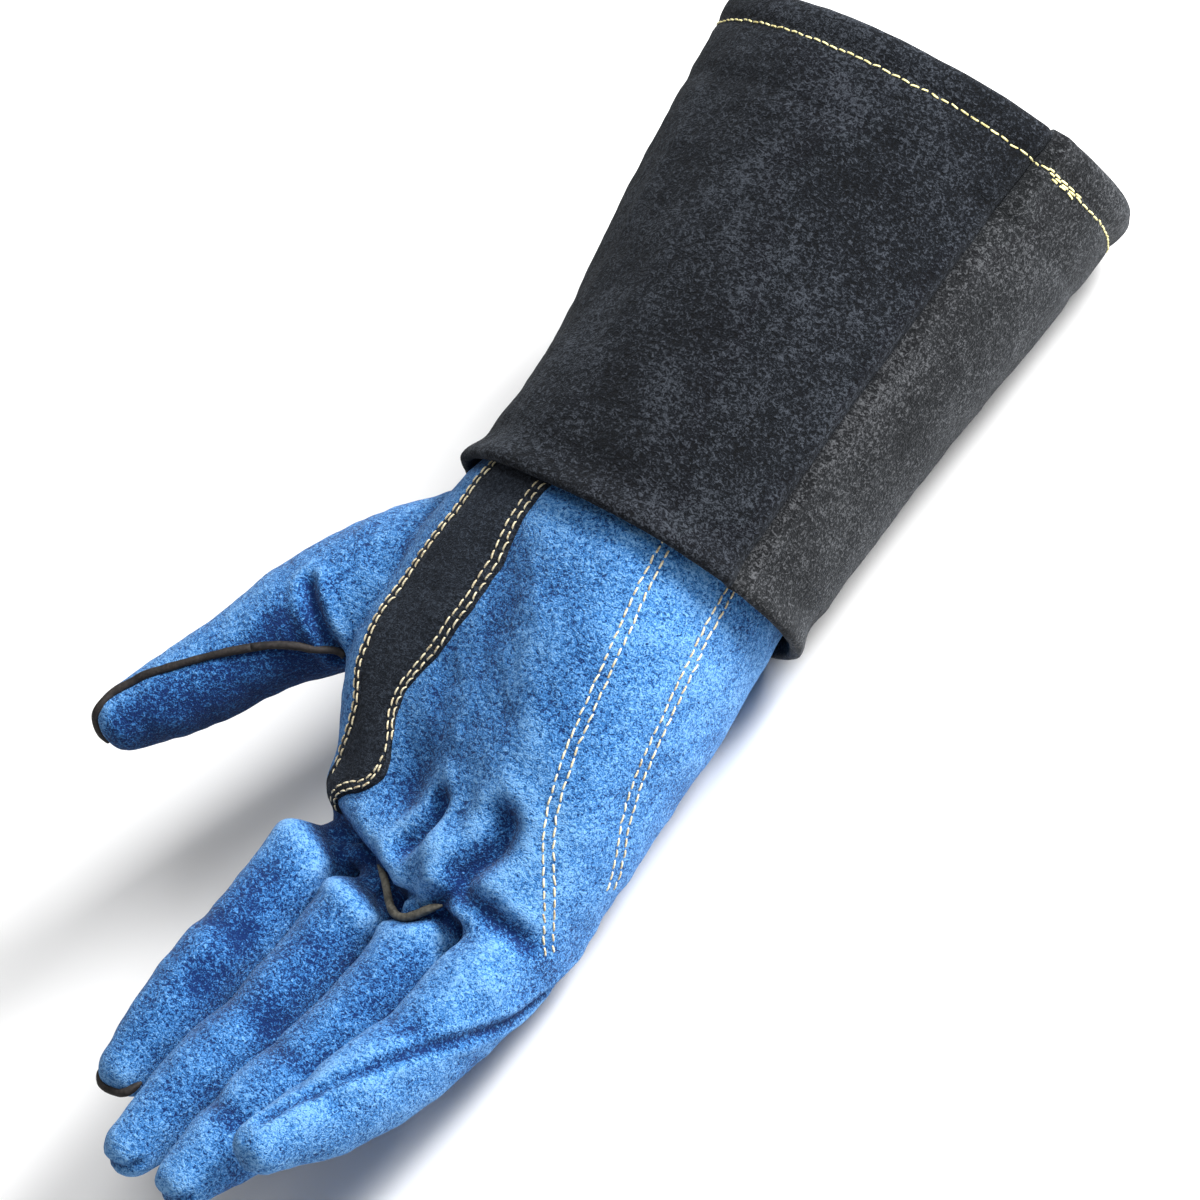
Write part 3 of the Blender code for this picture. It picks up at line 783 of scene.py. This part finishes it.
def piping(name, points, normals, radius, material, taper=True):
    """A slightly uneven leather piping laid along a surface line."""
    tangent = unit(np.gradient(points, axis=0))
    side = unit(np.cross(normals, tangent))
    out = np.cross(tangent, side)
    radii = np.full(len(points), radius)
    if taper:
        shares = np.linspace(0.0, 1.0, len(points))
        radii = radius * np.clip(np.minimum(shares, 1.0 - shares) * 9.0, 0.08, 1.0) ** 0.5
    radii = radii * (1.0 + 0.10 * waves(points, 5, 9.0, 2))
    turns = np.linspace(0.0, 2.0 * math.pi, 14, endpoint=False)[:, None]
    rings = points[:, None] + radii[:, None, None] * (np.cos(turns) * side[:, None]
                                                      + np.sin(turns) * out[:, None])
    return ring_mesh(name, rings, material)


# ---- The strap over the thumb's mound

# x, section angles of the thumb's edge and of the palm's edge
STRAP_EDGES = (
    (5.0, 65.0, 92.0),
    (-8.0, 64.5, 90.5),
    (-18.0, 63.5, 90.0),
    (-28.0, 60.5, 89.5),
    (-40.0, 57.0, 87.5),
    (-53.0, 54.0, 82.5),
    (-66.0, 54.0, 75.5),
    (-73.0, 56.5, 75.0),
    (-80.0, 56.0, 77.5),
    (-88.0, 52.0, 79.0),
    (-97.0, 46.0, 77.0),
)
STRAP_END = (-101.5, -92.0)
# How much the end's corners are rounded off: at the palm's edge and at the thumb's, and where each begins
STRAP_CORNERS = ((0.16, 0.28), (0.08, 0.22))
STRAP_THICKNESS = 1.7
STRAP_GRID = (41, 111)
# Distances of its thread rows from the edge, and how much further in they turn at the end
STRAP_ROWS = (1.6, 4.2)
STRAP_ROW_TURN = 2.2


def strap_place(across, down):
    """x and section angle on the strap: across is 0 at the thumb's edge, 1 at the palm's; down is 0 to 1."""
    rows = np.array(STRAP_EDGES)
    corner = 0.0
    for (size, width), from_edge in zip(STRAP_CORNERS, (1.0 - across, across)):
        corner += size * (1.0 - math.sqrt(max(1.0 - max(0.0, (width - from_edge) / width) ** 2, 0.0)))
    end = STRAP_END[0] + (STRAP_END[1] - STRAP_END[0]) * across
    x = rows[0, 0] + (end - rows[0, 0]) * down * (1.0 - corner * down ** 6)
    thumb_edge, palm_edge = (np.interp(-x, -rows[:, 0], column) for column in rows.T[1:])
    return x, thumb_edge + (palm_edge - thumb_edge) * across


def cross_sum(grid, weight):
    """Each inner point of a grid times a weight, plus its four neighbours."""
    return (grid[1:-1, 1:-1] * weight + grid[:-2, 1:-1] + grid[2:, 1:-1]
            + grid[1:-1, :-2] + grid[1:-1, 2:])


def strap(tree, material):
    """The strap as a thick sheet laid on the hand; also its top surface and the normals there."""
    columns, rows = STRAP_GRID
    across, down = np.meshgrid(np.linspace(0.0, 1.0, columns), np.linspace(0.0, 1.0, rows))
    spots = [strap_place(a, d) for a, d in zip(across.ravel(), down.ravel())]
    surface, normals = (found.reshape(rows, columns, 3) for found in land_on_hand(tree, spots))
    for _ in range(6):
        normals[1:-1, 1:-1] = unit(cross_sum(normals, 1))
    for _ in range(4):
        surface[1:-1, 1:-1] = cross_sum(surface, 2) / 6
    from_side, from_top = lengths(surface, 1), lengths(surface, 0)
    edge = np.minimum(np.minimum(from_side, from_side[:, -1:] - from_side), from_top[-1:] - from_top)
    rounding = np.clip(edge / 1.8, 0.0, 1.0)
    lift = STRAP_THICKNESS * np.sqrt(1.0 - (1.0 - rounding) ** 2)
    for row in STRAP_ROWS:
        lift -= 0.38 * bell(edge - row, 0.8) * (edge > 0.6)
    lift += 0.10 * waves(surface.reshape(-1, 3), 21, 16.0, 2).reshape(rows, columns) * rounding
    top = surface + normals * lift[..., None]
    vertices = np.vstack([top.reshape(-1, 3), (surface - normals).reshape(-1, 3)])
    index = np.arange(rows * columns).reshape(rows, columns)
    quads = quads_of(index)
    below = quads[:, ::-1] + rows * columns
    loop = np.concatenate([index[0, :], index[1:, -1], index[-1, -2::-1], index[-2:0:-1, 0]])
    after = np.roll(loop, -1)
    walls = np.stack([loop, after, after + rows * columns, loop + rows * columns], 1)
    faces = np.vstack([quads, below, walls]).tolist()
    return mesh_object("thumb_strap_leather", place(vertices).tolist(), faces, material), top, normals


def strap_rows(top, normals):
    """Thread lines on the strap at fixed distances from its edge: down one side, round the end, up."""
    rows, columns = top.shape[:2]
    row_pitch, column_pitch = (np.linalg.norm(np.diff(line, axis=0), axis=1).mean()
                               for line in (top[:, columns // 2], top[-1]))
    runs = []
    for inset in STRAP_ROWS:
        last = rows - 1 - int((inset + STRAP_ROW_TURN) / row_pitch)
        skip = int((inset + STRAP_ROW_TURN) / column_pitch)
        lines = [(top[r], normals[r]) for r in range(2, last)]
        lines += [(top[::-1, c], normals[::-1, c]) for c in range(skip, columns - skip)]
        lines += [(top[r, ::-1], normals[r, ::-1]) for r in range(last, 2, -1)]
        line, out = [], []
        for places, ups in lines:
            marks = lengths(places)
            first = int(np.argmax(marks >= inset))
            line.append(between([inset], marks[first - 1:first + 1], places[first - 1:first + 1])[0])
            out.append(ups[first])
        line, out = np.array(line), np.array(out)
        ease(line, 8, out)
        runs.append((line, unit(out)))
    return runs


# ---- The palm's stitch rows: x and angle along each double row

INNER_ROW = ((4.0, 136.5), (-6.0, 137.5), (-22.0, 138.5), (-40.0, 138.5), (-61.0, 138.5), (-78.0, 143.0),
             (-86.0, 151.0), (-94.0, 163.0), (-99.0, 172.5), (-103.5, 182.0))
OUTER_ROW = ((4.0, 170.0), (-1.0, 170.0), (-14.0, 170.5), (-30.0, 171.0), (-49.0, 172.5), (-66.0, 179.5),
             (-80.0, 190.0))
ROW_SPACING = 2.7


def palm_row(tree, row, aside):
    points, normals = land_on_hand(tree, through(row, 60))
    ease(points, 4, normals)
    if aside:
        shifted = points + np.cross(normals, unit(np.gradient(points, axis=0))) * aside
        points, found = land(tree, shifted, -normals)
        normals = unit(normals + found)
    return points, normals


# ---- Welts

BASE_WELT_START = (-107.0, 11.0)
BASE_WELT_HEIGHT = 38.0
# The thumb's welt: share of the length where it starts, section angles at its ends, how early it turns,
# then the arc over the end: radius, first and last turn, and how far past the root's bend it is cut in two
THUMB_WELT_START = 0.33
THUMB_WELT_TURN = (183.0, 83.0)
THUMB_WELT_EASE = 1.6
THUMB_WELT_END = (9.2, 20.0, 122.0)
THUMB_WELT_CUT = 1.15
INDEX_TIP_REACH = (13.0, 12.5)
INDEX_TIP_TURN = 78.0


def base_welt():
    flat = through((BASE_WELT_START, *BASE_FOLD), 50)
    return np.column_stack([flat, np.full(len(flat), BASE_WELT_HEIGHT)])


def thumb_welt():
    rows = through(THUMB_SECTIONS, 120)
    share = np.linspace(0.0, 1.0, len(rows))
    past = np.clip((share - THUMB_WELT_START) / (1.0 - THUMB_WELT_START), 0.0, 1.0)
    first, last = THUMB_WELT_TURN
    angles = last + (first - last) * (1.0 - past) ** THUMB_WELT_EASE
    run = winding(rows[:, :3], rows[:, 3:5], THUMB_SQUARENESS, angles)[share >= THUMB_WELT_START]
    forward = unit(rows[-1, :3] - rows[-2, :3])
    up = np.cross(-forward, unit(np.cross([0.0, 0.0, 1.0], -forward)))
    radius, start, end = THUMB_WELT_END
    turns = np.radians(np.linspace(start, end, 26))[:, None]
    return np.vstack([run, rows[-1, :3] + radius * (forward * np.sin(turns) + up * np.cos(turns))])


def add_welts(pieces, dark, grey):
    points, normals = nearest(trees_of(pieces.values()), base_welt(), 60)
    base = piping("finger_base_piping", points + normals * 0.9, normals, 1.15, grey)
    declare(base, ["finger_base_welt"], "hand")

    arc = tip_arc("index", INDEX_TIP_REACH, INDEX_TIP_TURN, 60)
    points, normals = nearest(trees_of([pieces["index_tip_sleeve"]]), arc)
    tip = piping("index_tip_piping", points + normals * 0.5, normals, 1.2, dark)
    declare(tip, ["index_tip_welt"], "index_distal")

    tree = trees_of([pieces[name] for name in ("thumb_base_sleeve", "thumb_tip_sleeve", "hand_skin")])
    points, normals = nearest(tree, thumb_welt())
    cut = int(np.argmax(along(points, *THUMB_ROOT_BEND) > THUMB_WELT_CUT))
    for name, part, bodies, bend in (
        ("thumb_base_piping", slice(0, cut + 1), ("hand", "thumb_proximal"), THUMB_ROOT_BEND),
        ("thumb_tip_piping", slice(cut, None), ("thumb_proximal", "thumb_distal"), THUMB_TIP_BEND),
    ):
        piece = piping(name, points[part] + normals[part] * 0.5, normals[part], 1.15, dark, taper=False)
        declare(piece, [bodies[1] + "_welt"], bodies, bend)


# ---- Cuff: two panels with a folded hem, seamed down both sides, and a rolled lower edge

# x, centre y, centre z, half width, half height
CUFF_SECTIONS = (
    (-1.5, 0.0, 42.7, 58.6, 43.2),
    (5.0, 0.0, 43.0, 57.8, 42.7),
    (22.0, 0.0, 44.2, 57.5, 42.8),
    (45.0, 0.2, 45.6, 58.3, 43.8),
    (68.0, 0.5, 46.9, 60.3, 45.4),
    (92.0, 1.2, 48.2, 62.6, 47.3),
    (118.0, 2.0, 49.5, 65.4, 49.6),
    (141.0, 2.8, 50.5, 67.5, 50.9),
)
CUFF_SQUARENESS = 2.2
CUFF_LEATHER = 2.4
CUFF_LOW, CUFF_HIGH = CUFF_SECTIONS[0][0], CUFF_SECTIONS[-1][0]
HEM_DEPTH = 24.0
HEM_STITCH_INSET = 7.3
SEAM_VALLEY = (1.7, 2.0)
SEAM_LIP = (3.4, 2.2, 0.8)
# Distance, width and height of the bands round the cuff, from its mouth and from its lower edge
MOUTH_BANDS = ((HEM_STITCH_INSET, 1.5, -0.55), (2.0, 3.4, 0.45), (HEM_DEPTH, 2.6, -0.5))
LOW_BANDS = ((1.5, 3.0, 0.9), (8.5, 4.0, -0.7))
# Thread that starts the hem row twice over: place aside, first and last angle
HEM_TACKS = ((0.75, 168.0, 183.0), (-0.7, 171.0, 181.0))
# The fleece: gap to the cuff, gap to the hand and its growth, thickness, squareness, floor height
LINING_GAP = 4.9
LINING_HAND_GAP = (4.2, 3.0)
LINING_THICKNESS = 3.2
LINING_SQUARENESS = 2.25
LINING_FLOOR = 3.4
FLEECE_BANDS = ((0.55, 41, 5.0, 2), (0.9, 43, 26.0, 2))


def cuff_at(x, sections):
    """Centre y and z, half width and half height of the cuff at x."""
    return (np.interp(x, sections[:, 0], column) for column in sections.T[1:])


def cuff_place(x, angles, lift):
    """Points of the cuff's leather at stations x and angles, lifted off the outer surface."""
    y, z, wide, high = cuff_at(x, through(CUFF_SECTIONS, 200))
    across, height = oval(angles, wide + lift, high + lift, CUFF_SQUARENESS)
    return np.stack([x - CUFF_SLANT[0] * across - CUFF_SLANT[1] * height, y + across, z + height], -1)


def cuff_unevenness(points):
    """Soft standing folds of the heavy leather, in millimetres off its even shape."""
    slow = waves(points * np.array([0.55, 1.0, 1.0]), 31, 62.0, 2)
    return 1.15 * slow + 0.22 * waves(points, 37, 11.0, 2)


def cuff_profile(low, high):
    """x and lift along a panel's section: to the mouth, round the hem, back inside, round the low edge."""
    turn = np.linspace(0.0, math.pi, 9)[1:-1]
    half = CUFF_LEATHER / 2
    hem = half * 1.9
    profile = [(x, 0.0) for x in np.linspace(low, high, 118)]
    profile += [(high + hem * math.sin(t), -hem * (1.0 - math.cos(t))) for t in turn]
    profile += [(x, -2.0 * hem) for x in np.linspace(high, high - HEM_DEPTH, 18)]
    profile += [(x, -CUFF_LEATHER) for x in np.linspace(high - HEM_DEPTH - 1.0, low, 70)]
    profile += [(low - half * math.sin(t), -half * (1.0 + math.cos(t))) for t in turn]
    return np.array(profile)


def cuff_panel(name, first, last, material, proud):
    """One panel of the cuff; proud is how far its hem stands out past the other panel's at the seams."""
    low, high = CUFF_LOW, CUFF_HIGH + 1.4 * proud
    profile = cuff_profile(low, high)
    angles = first + (last - first) * np.linspace(0.0, 1.0, int((last - first) * 0.62))
    x, lift, angles = np.broadcast_arrays(profile[:, :1], profile[:, 1:], angles[None, :])
    outer = lift > -CUFF_LEATHER / 2
    base = cuff_place(x, angles, lift)
    arc = lengths(base, 1)
    away = np.minimum(arc, arc[:, -1:] - arc)
    valley_width, valley_depth = SEAM_VALLEY
    lip_place, lip_width, lip_height = SEAM_LIP
    shape = -valley_depth * bell(away, valley_width) + lip_height * bell(away - lip_place, lip_width)
    for distance, bands in ((high - x, MOUTH_BANDS), (x - low, LOW_BANDS)):
        for at, width, height in bands:
            shape += height * bell(distance - at, width) * outer
    at_hem = np.clip((x - (high - HEM_DEPTH)) / 2.0, 0.0, 1.0)
    shape += proud * 1.5 * at_hem * bell(away, 9.0) * outer
    bottom = np.clip((base[..., 2] - 1.0) / 9.0, 0.0, 1.0)
    folds = cuff_unevenness(base.reshape(-1, 3)).reshape(x.shape)
    grid = cuff_place(x, angles, lift + shape + folds * bottom)
    grid[..., 2] = np.maximum(grid[..., 2], 0.4 - np.minimum(lift, 0.0))
    panel = ring_mesh(name, np.swapaxes(grid, 0, 1), material, capped=False)
    face_outwards(panel)
    return panel


def cuff_inward(points):
    inward = -points.copy()
    inward[:, 0] = 0.0
    inward[:, 2] += CUFF_SECTIONS[-1][2]
    return unit(inward)


def hem_runs(tree):
    """The thread row round the mouth, broken at the seams, and its doubled start by the little finger."""
    x = CUFF_HIGH - HEM_STITCH_INSET
    guide = cuff_place(np.full(420, x), np.linspace(SEAM_THUMB_SIDE + 2.0, SEAM_THUMB_SIDE + 358.0, 420), 0.0)
    guide = guide[guide[:, 2] > 6.0]
    points, normals = land(tree, guide, cuff_inward(guide))
    gaps = np.flatnonzero(np.linalg.norm(np.diff(points, axis=0), axis=1) > 8.0)
    runs = [(points[part], normals[part]) for part in np.split(np.arange(len(points)), gaps + 1)
            if len(part) > 8]
    for aside, first, last in HEM_TACKS:
        tack = cuff_place(np.full(40, x + aside), np.linspace(first, last, 40), 0.0)
        runs.append(land(tree, tack, cuff_inward(tack)))
    return runs


def lining_mesh(material):
    """The fleece tube inside the cuff and the hand, thick and uneven, closed past the palm."""
    stations = []
    for x in np.linspace(116.0, 22.0, 38):
        y, z, wide, high = cuff_at(x, np.array(CUFF_SECTIONS))
        stations.append((x, y, z, wide - LINING_GAP, high - LINING_GAP))
    gap, growth = LINING_HAND_GAP
    for x in np.linspace(18.0, -78.0, 34):
        y, z, wide, high, _ = hand_section(x)
        shrink = gap + growth * smoothstep(-40.0, -80.0, x)
        stations.append((x, y, z, wide - shrink, high - shrink))
    stations = through(stations, 90)
    angles = np.linspace(0.0, 360.0, 120, endpoint=False)

    def rings(thickness):
        found = []
        for x, y, z, wide, high in stations:
            across, height = oval(angles, wide - thickness, high - thickness, LINING_SQUARENESS)
            found.append(np.stack([x - CUFF_SLANT[0] * across, y + across, z + height], 1))
        return np.array(found)

    outer, inner = rings(0.0), rings(LINING_THICKNESS)
    flat = inner.reshape(-1, 3)
    outward = unit(flat * (0.0, 1.0, 1.0) - (0.0, 0.0, 42.0))
    inner = (flat - outward * uneven(flat, FLEECE_BANDS)[:, None]).reshape(inner.shape)
    grid = np.concatenate([outer[::-1], inner])
    grid[..., 2] = np.maximum(grid[..., 2], LINING_FLOOR)
    fleece_tube = ring_mesh("fleece_tube", grid, material)
    face_outwards(fleece_tube)
    return fleece_tube


# ---- Materials

class Nodes:
    """A material, and a short way to add and link its shader nodes."""

    def __init__(self, name):
        self.material = bpy.data.materials.new(name)
        self.material.use_nodes = True
        self.tree = self.material.node_tree
        self.spot = self.add("ShaderNodeTexCoord").outputs["Object"]

    def fill(self, node, values):
        """Set a node's inputs, by name or number, to constants or to other nodes' outputs."""
        for socket, value in values.items():
            if isinstance(value, bpy.types.NodeSocket):
                self.tree.links.new(value, node.inputs[socket])
            else:
                node.inputs[socket].default_value = value
        return node

    def add(self, kind, **values):
        return self.fill(self.tree.nodes.new(kind), values)

    def noise(self, size, detail, roughness, stretch=None, distortion=0.0):
        """Noise whose main features are size millimetres across, 0 to 1."""
        spot = self.spot
        if stretch:
            spot = self.add("ShaderNodeMapping", Scale=stretch, Rotation=(0.3, 0.2, 0.9),
                            Vector=spot).outputs["Vector"]
        return self.add("ShaderNodeTexNoise", Scale=1.0 / (size * MM), Detail=detail, Roughness=roughness,
                        Distortion=distortion, Vector=spot).outputs["Fac"]

    def math(self, operation, *values):
        node = self.tree.nodes.new("ShaderNodeMath")
        node.operation = operation
        return self.fill(node, dict(enumerate(values))).outputs["Value"]

    def total(self, pairs):
        """The sum of values with weights."""
        parts = [self.math("MULTIPLY", value, weight) for value, weight in pairs]
        while len(parts) > 1:
            parts[:2] = [self.math("ADD", *parts[:2])]
        return parts[0]

    def finish(self, value, stops, constants, relief=(), distance=0.0):
        """Colour by a ramp over value, relief by weighted heights, and the shader's constants."""
        ramp = self.add("ShaderNodeValToRGB", Fac=value)
        elements = ramp.color_ramp.elements
        while len(elements) < len(stops):
            elements.new(0.5)
        for element, (position, colour) in zip(elements, stops):
            element.position = position
            element.color = (*colour, 1.0)
        inputs = {"Base Color": ramp.outputs["Color"], **constants}
        if relief:
            bump = self.add("ShaderNodeBump", Strength=1.0, Distance=distance * MM, Height=self.total(relief))
            inputs["Normal"] = bump.outputs["Normal"]
        self.fill(self.tree.nodes["Principled BSDF"], inputs)
        return self.material


def suede(name, dark, middle, light, sheen, nap=0.85, cloud=1.0, wear_and_shade_weight=0.0):
    """Split leather: fine fibres, brushed patches lighter and darker, a soft sheen at glancing angles."""
    nodes = Nodes(name)
    clouds = nodes.noise(30.0, 4.0, 0.6, distortion=0.4)
    patches = nodes.noise(7.0, 3.0, 0.6, (1.0, 0.6, 1.0), 0.6)
    fibres = nodes.noise(nap, 2.0, 0.75, (1.0, 0.62, 1.0), 0.8)
    grain = nodes.noise(nap * 0.55, 1.0, 0.6)
    parts = [(clouds, 0.62 * cloud), (patches, 0.26), (fibres, 1.45), (grain, 0.70)]
    # The skin's attribute lightens worn proud edges and darkens the colour with painted shade in hollows,
    # folds and seams, on the fingers and on the thumb
    if wear_and_shade_weight:
        wear_and_shade_node = nodes.tree.nodes.new("ShaderNodeAttribute")
        wear_and_shade_node.attribute_name = WEAR_AND_PAINTED_SHADE
        parts.append((wear_and_shade_node.outputs["Fac"], wear_and_shade_weight))
    mixed = 0.5
    for part, weight in parts:
        mixed = nodes.math("MULTIPLY_ADD", nodes.math("SUBTRACT", part, 0.5), weight, mixed)
    constants = {"Roughness": 0.95, "Specular IOR Level": 0.15, "Sheen Weight": sheen[0],
                 "Sheen Roughness": 0.5, "Sheen Tint": (*sheen[1], 1.0)}
    return nodes.finish(mixed, ((0.24, dark), (0.50, middle), (0.78, light)), constants,
                        ((fibres, 0.9), (grain, 0.35), (patches, 0.35)), 0.7)


def thread(name, dark, light):
    nodes = Nodes(name)
    twist = nodes.noise(0.55, 2.0, 0.6, (1.0, 0.5, 1.0))
    mixed = nodes.total(((twist, 0.6), (nodes.noise(9.0, 3.0, 0.6), 0.4)))
    return nodes.finish(mixed, ((0.36, dark), (0.56, light)), {"Roughness": 0.7, "Sheen Weight": 0.2},
                        ((twist, 1.0),), 0.18)


def fleece(name):
    nodes = Nodes(name)
    curls = nodes.noise(2.2, 4.0, 0.7, distortion=1.2)
    mixed = nodes.total(((curls, 0.65), (nodes.noise(14.0, 2.0, 0.5), 0.35)))
    stops = ((0.34, (0.33, 0.30, 0.24)), (0.62, (0.74, 0.70, 0.60)))
    return nodes.finish(mixed, stops, {"Roughness": 1.0, "Sheen Weight": 0.5}, ((curls, 1.0),), 1.2)


def smooth_leather(name, dark, light):
    nodes = Nodes(name)
    grain, wear = nodes.noise(1.1, 3.0, 0.6), nodes.noise(6.0, 3.0, 0.6)
    mixed = nodes.total(((grain, 0.5), (wear, 0.5)))
    return nodes.finish(mixed, ((0.38, dark), (0.62, light)), {"Roughness": 0.72, "Specular IOR Level": 0.35},
                        ((grain, 0.6), (wear, 0.6)), 0.3)


def floor_paper():
    nodes = Nodes("floor_paper")
    stops = ((0.3, (0.93, 0.93, 0.93)), (0.7, (0.95, 0.95, 0.95)))
    return nodes.finish(nodes.noise(60.0, 2.0, 0.5), stops, {"Roughness": 0.9})


# ---- Floor, lights and camera

# Azimuth, elevation and roll in degrees, the point looked at, the distance in metres, the lens in mm
CAMERA_ANGLES = (-11.69, 39.06, 45.3)
CAMERA_AIM = (-15.6, 1.2, 40.3)
CAMERA_DISTANCE = 2.6
CAMERA_LENS = 294.8
FLOOR_RADII = (3.0, 1.5, 0.8, 0.3, 0.001)
FLOOR_DROP = 0.0002
# Name, direction, distance and size in metres, watts
LIGHTS = (("key", (0.88, -0.66, 0.58), 1.3, 0.45, 40.0), ("top", (0.3, -0.35, 1.0), 1.5, 0.7, 12.0))
LIGHT_TARGET = (0.0, 0.0, 0.04)
SKY_STRENGTH = 0.32


def add_floor():
    turns = np.radians(np.linspace(0.0, 360.0, 48, endpoint=False))
    rings = [np.stack([radius * np.cos(turns), radius * np.sin(turns), np.full(48, -FLOOR_DROP)], 1)
             for radius in FLOOR_RADII]
    ring_mesh("floor", unplace(rings), floor_paper(), capped=False)


def add_lights():
    for name, direction, distance, size, power in LIGHTS:
        data = bpy.data.lights.new(name, "AREA")
        data.shape = "SQUARE"
        data.size = size
        data.energy = power
        light = add_object(name, data)
        towards = Vector(direction).normalized()
        light.location = Vector(LIGHT_TARGET) + towards * distance
        light.rotation_euler = (-towards).to_track_quat("-Z", "Y").to_euler()
    world = bpy.data.worlds.new("studio")
    bpy.context.scene.world = world
    world.use_nodes = True
    sky = world.node_tree.nodes["Background"]
    sky.inputs["Color"].default_value = (1.0, 1.0, 1.0, 1.0)
    sky.inputs["Strength"].default_value = SKY_STRENGTH


def add_camera():
    """A long lens from the little finger's side, above and a little ahead of the fingers, rolled."""
    azimuth, elevation, roll = (math.radians(v) for v in CAMERA_ANGLES)
    back = Vector((math.sin(azimuth) * math.cos(elevation), -math.cos(azimuth) * math.cos(elevation),
                   math.sin(elevation)))
    level = Vector((math.cos(azimuth), math.sin(azimuth), 0.0))
    up = back.cross(level) * math.cos(roll) + level * math.sin(roll)
    turn = Matrix((up.cross(back), up, back)).transposed().to_4x4()
    camera = add_object("camera", bpy.data.cameras.new("camera"))
    camera.matrix_world = Matrix.Translation(Vector(place(CAMERA_AIM)) + back * CAMERA_DISTANCE) @ turn
    camera.data.lens = CAMERA_LENS
    camera.data.clip_end = 20.0
    bpy.context.scene.camera = camera


# ---- The glove

def dress_skin(leather):
    """The blue skin as pieces, cut apart at the joints."""
    skin = skin_mesh()
    sculpt_skin(skin)
    pieces = {}
    for name, (faces, bodies, bend, replaced) in split_skin(skin).items():
        pieces[name] = cut_piece(skin, name, faces, leather)
        declare(pieces[name], replaced, bodies, bend)
    bpy.data.objects.remove(skin, do_unlink=True)
    return pieces


def dress_palm(pieces, leather, cream):
    """The strap and the palm's rows of thread."""
    piece, top, normals = strap(trees_of([pieces["hand_skin"]]), leather)
    declare(piece, ["thumb_strap"], "hand")
    piece = stitch_mesh("strap_stitches", strap_rows(top, normals), cream, seed=3)
    nodes = [f"strap_stitch_{part}_{row}" for part in ("thumb_side", "palm_side", "end") for row in "ab"]
    declare(piece, nodes, "hand")
    tree = trees_of([pieces["hand_skin"], pieces["little_base_sleeve"]])
    for seed, name, row in ((5, "inner", INNER_ROW), (6, "outer", OUTER_ROW)):
        runs = [palm_row(tree, row, aside) for aside in (0.0, ROW_SPACING)]
        piece = stitch_mesh(name + "_palm_stitches", runs, cream, seed)
        declare(piece, [f"{name}_row_stitch_{side}" for side in "ab"], "hand")


def dress_cuff(black, black_painted_lit, yellow, wool):
    panels = []
    for name, first, last, node, leather, proud in (
        ("cuff_palm_leather", SEAM_THUMB_SIDE, SEAM_LITTLE_SIDE, "cuff_palm_panel", black, 0.0),
        # The back panel's leather is the lighter copy, with painted light
        ("cuff_back_leather", SEAM_LITTLE_SIDE, SEAM_THUMB_SIDE + 360.0, "cuff_back_panel", black_painted_lit, 0.8),
    ):
        panels.append(cuff_panel(name, first, last, leather, proud))
        declare(panels[-1], [node], "cuff")
    stitches = stitch_mesh("hem_stitches", hem_runs(trees_of(panels)), yellow, seed=9)
    declare(stitches, [f"hem_stitch_{side}" for side in
                                        ("palm_side", "back_little_side", "back_thumb_side")], "cuff")
    declare(lining_mesh(wool), ["cuff_lining", "hand_lining"], ("hand", "cuff"), LINING_BEND)


def main():
    # The blue suede takes wear and painted shade from the skin's attribute
    blue = suede("blue_suede", (0.002, 0.017, 0.090), (0.032, 0.152, 0.400), (0.150, 0.337, 0.62),
                 (0.20, (0.45, 0.65, 1.0)), wear_and_shade_weight=0.55)
    black = suede("black_suede", (0.001, 0.0013, 0.002), (0.0034, 0.0046, 0.0070), (0.032, 0.037, 0.046),
                  (0.03, (0.75, 0.85, 1.0)), nap=1.05)
    # A lighter copy of the black suede for the cuff's back panel: painted light for the side that faces the
    # key light
    black_painted_lit = suede("black_suede_painted_lit", (0.003, 0.0035, 0.004), (0.0090, 0.0098, 0.011),
                       (0.066, 0.069, 0.074), (0.06, (0.8, 0.88, 1.0)), nap=1.05)
    strap_leather = suede("strap_suede", (0.004, 0.006, 0.009), (0.009, 0.012, 0.018), (0.032, 0.041, 0.056),
                          (0.05, (0.7, 0.8, 1.0)), nap=0.9, cloud=0.7)
    cream = thread("cream_thread", (0.26, 0.18, 0.09), (0.74, 0.66, 0.44))
    yellow = thread("yellow_thread", (0.30, 0.24, 0.07), (0.80, 0.73, 0.34))
    dark_welt = smooth_leather("welt_leather", (0.006, 0.005, 0.005), (0.030, 0.024, 0.022))
    grey_welt = smooth_leather("grey_welt_leather", (0.045, 0.042, 0.034), (0.16, 0.15, 0.12))
    pieces = dress_skin(blue)
    dress_palm(pieces, strap_leather, cream)
    add_welts(pieces, dark_welt, grey_welt)
    dress_cuff(black, black_painted_lit, yellow, fleece("fleece_lining"))
    add_floor()
    add_lights()
    add_camera()
    bpy.context.scene.view_settings.view_transform = "Standard"


main()
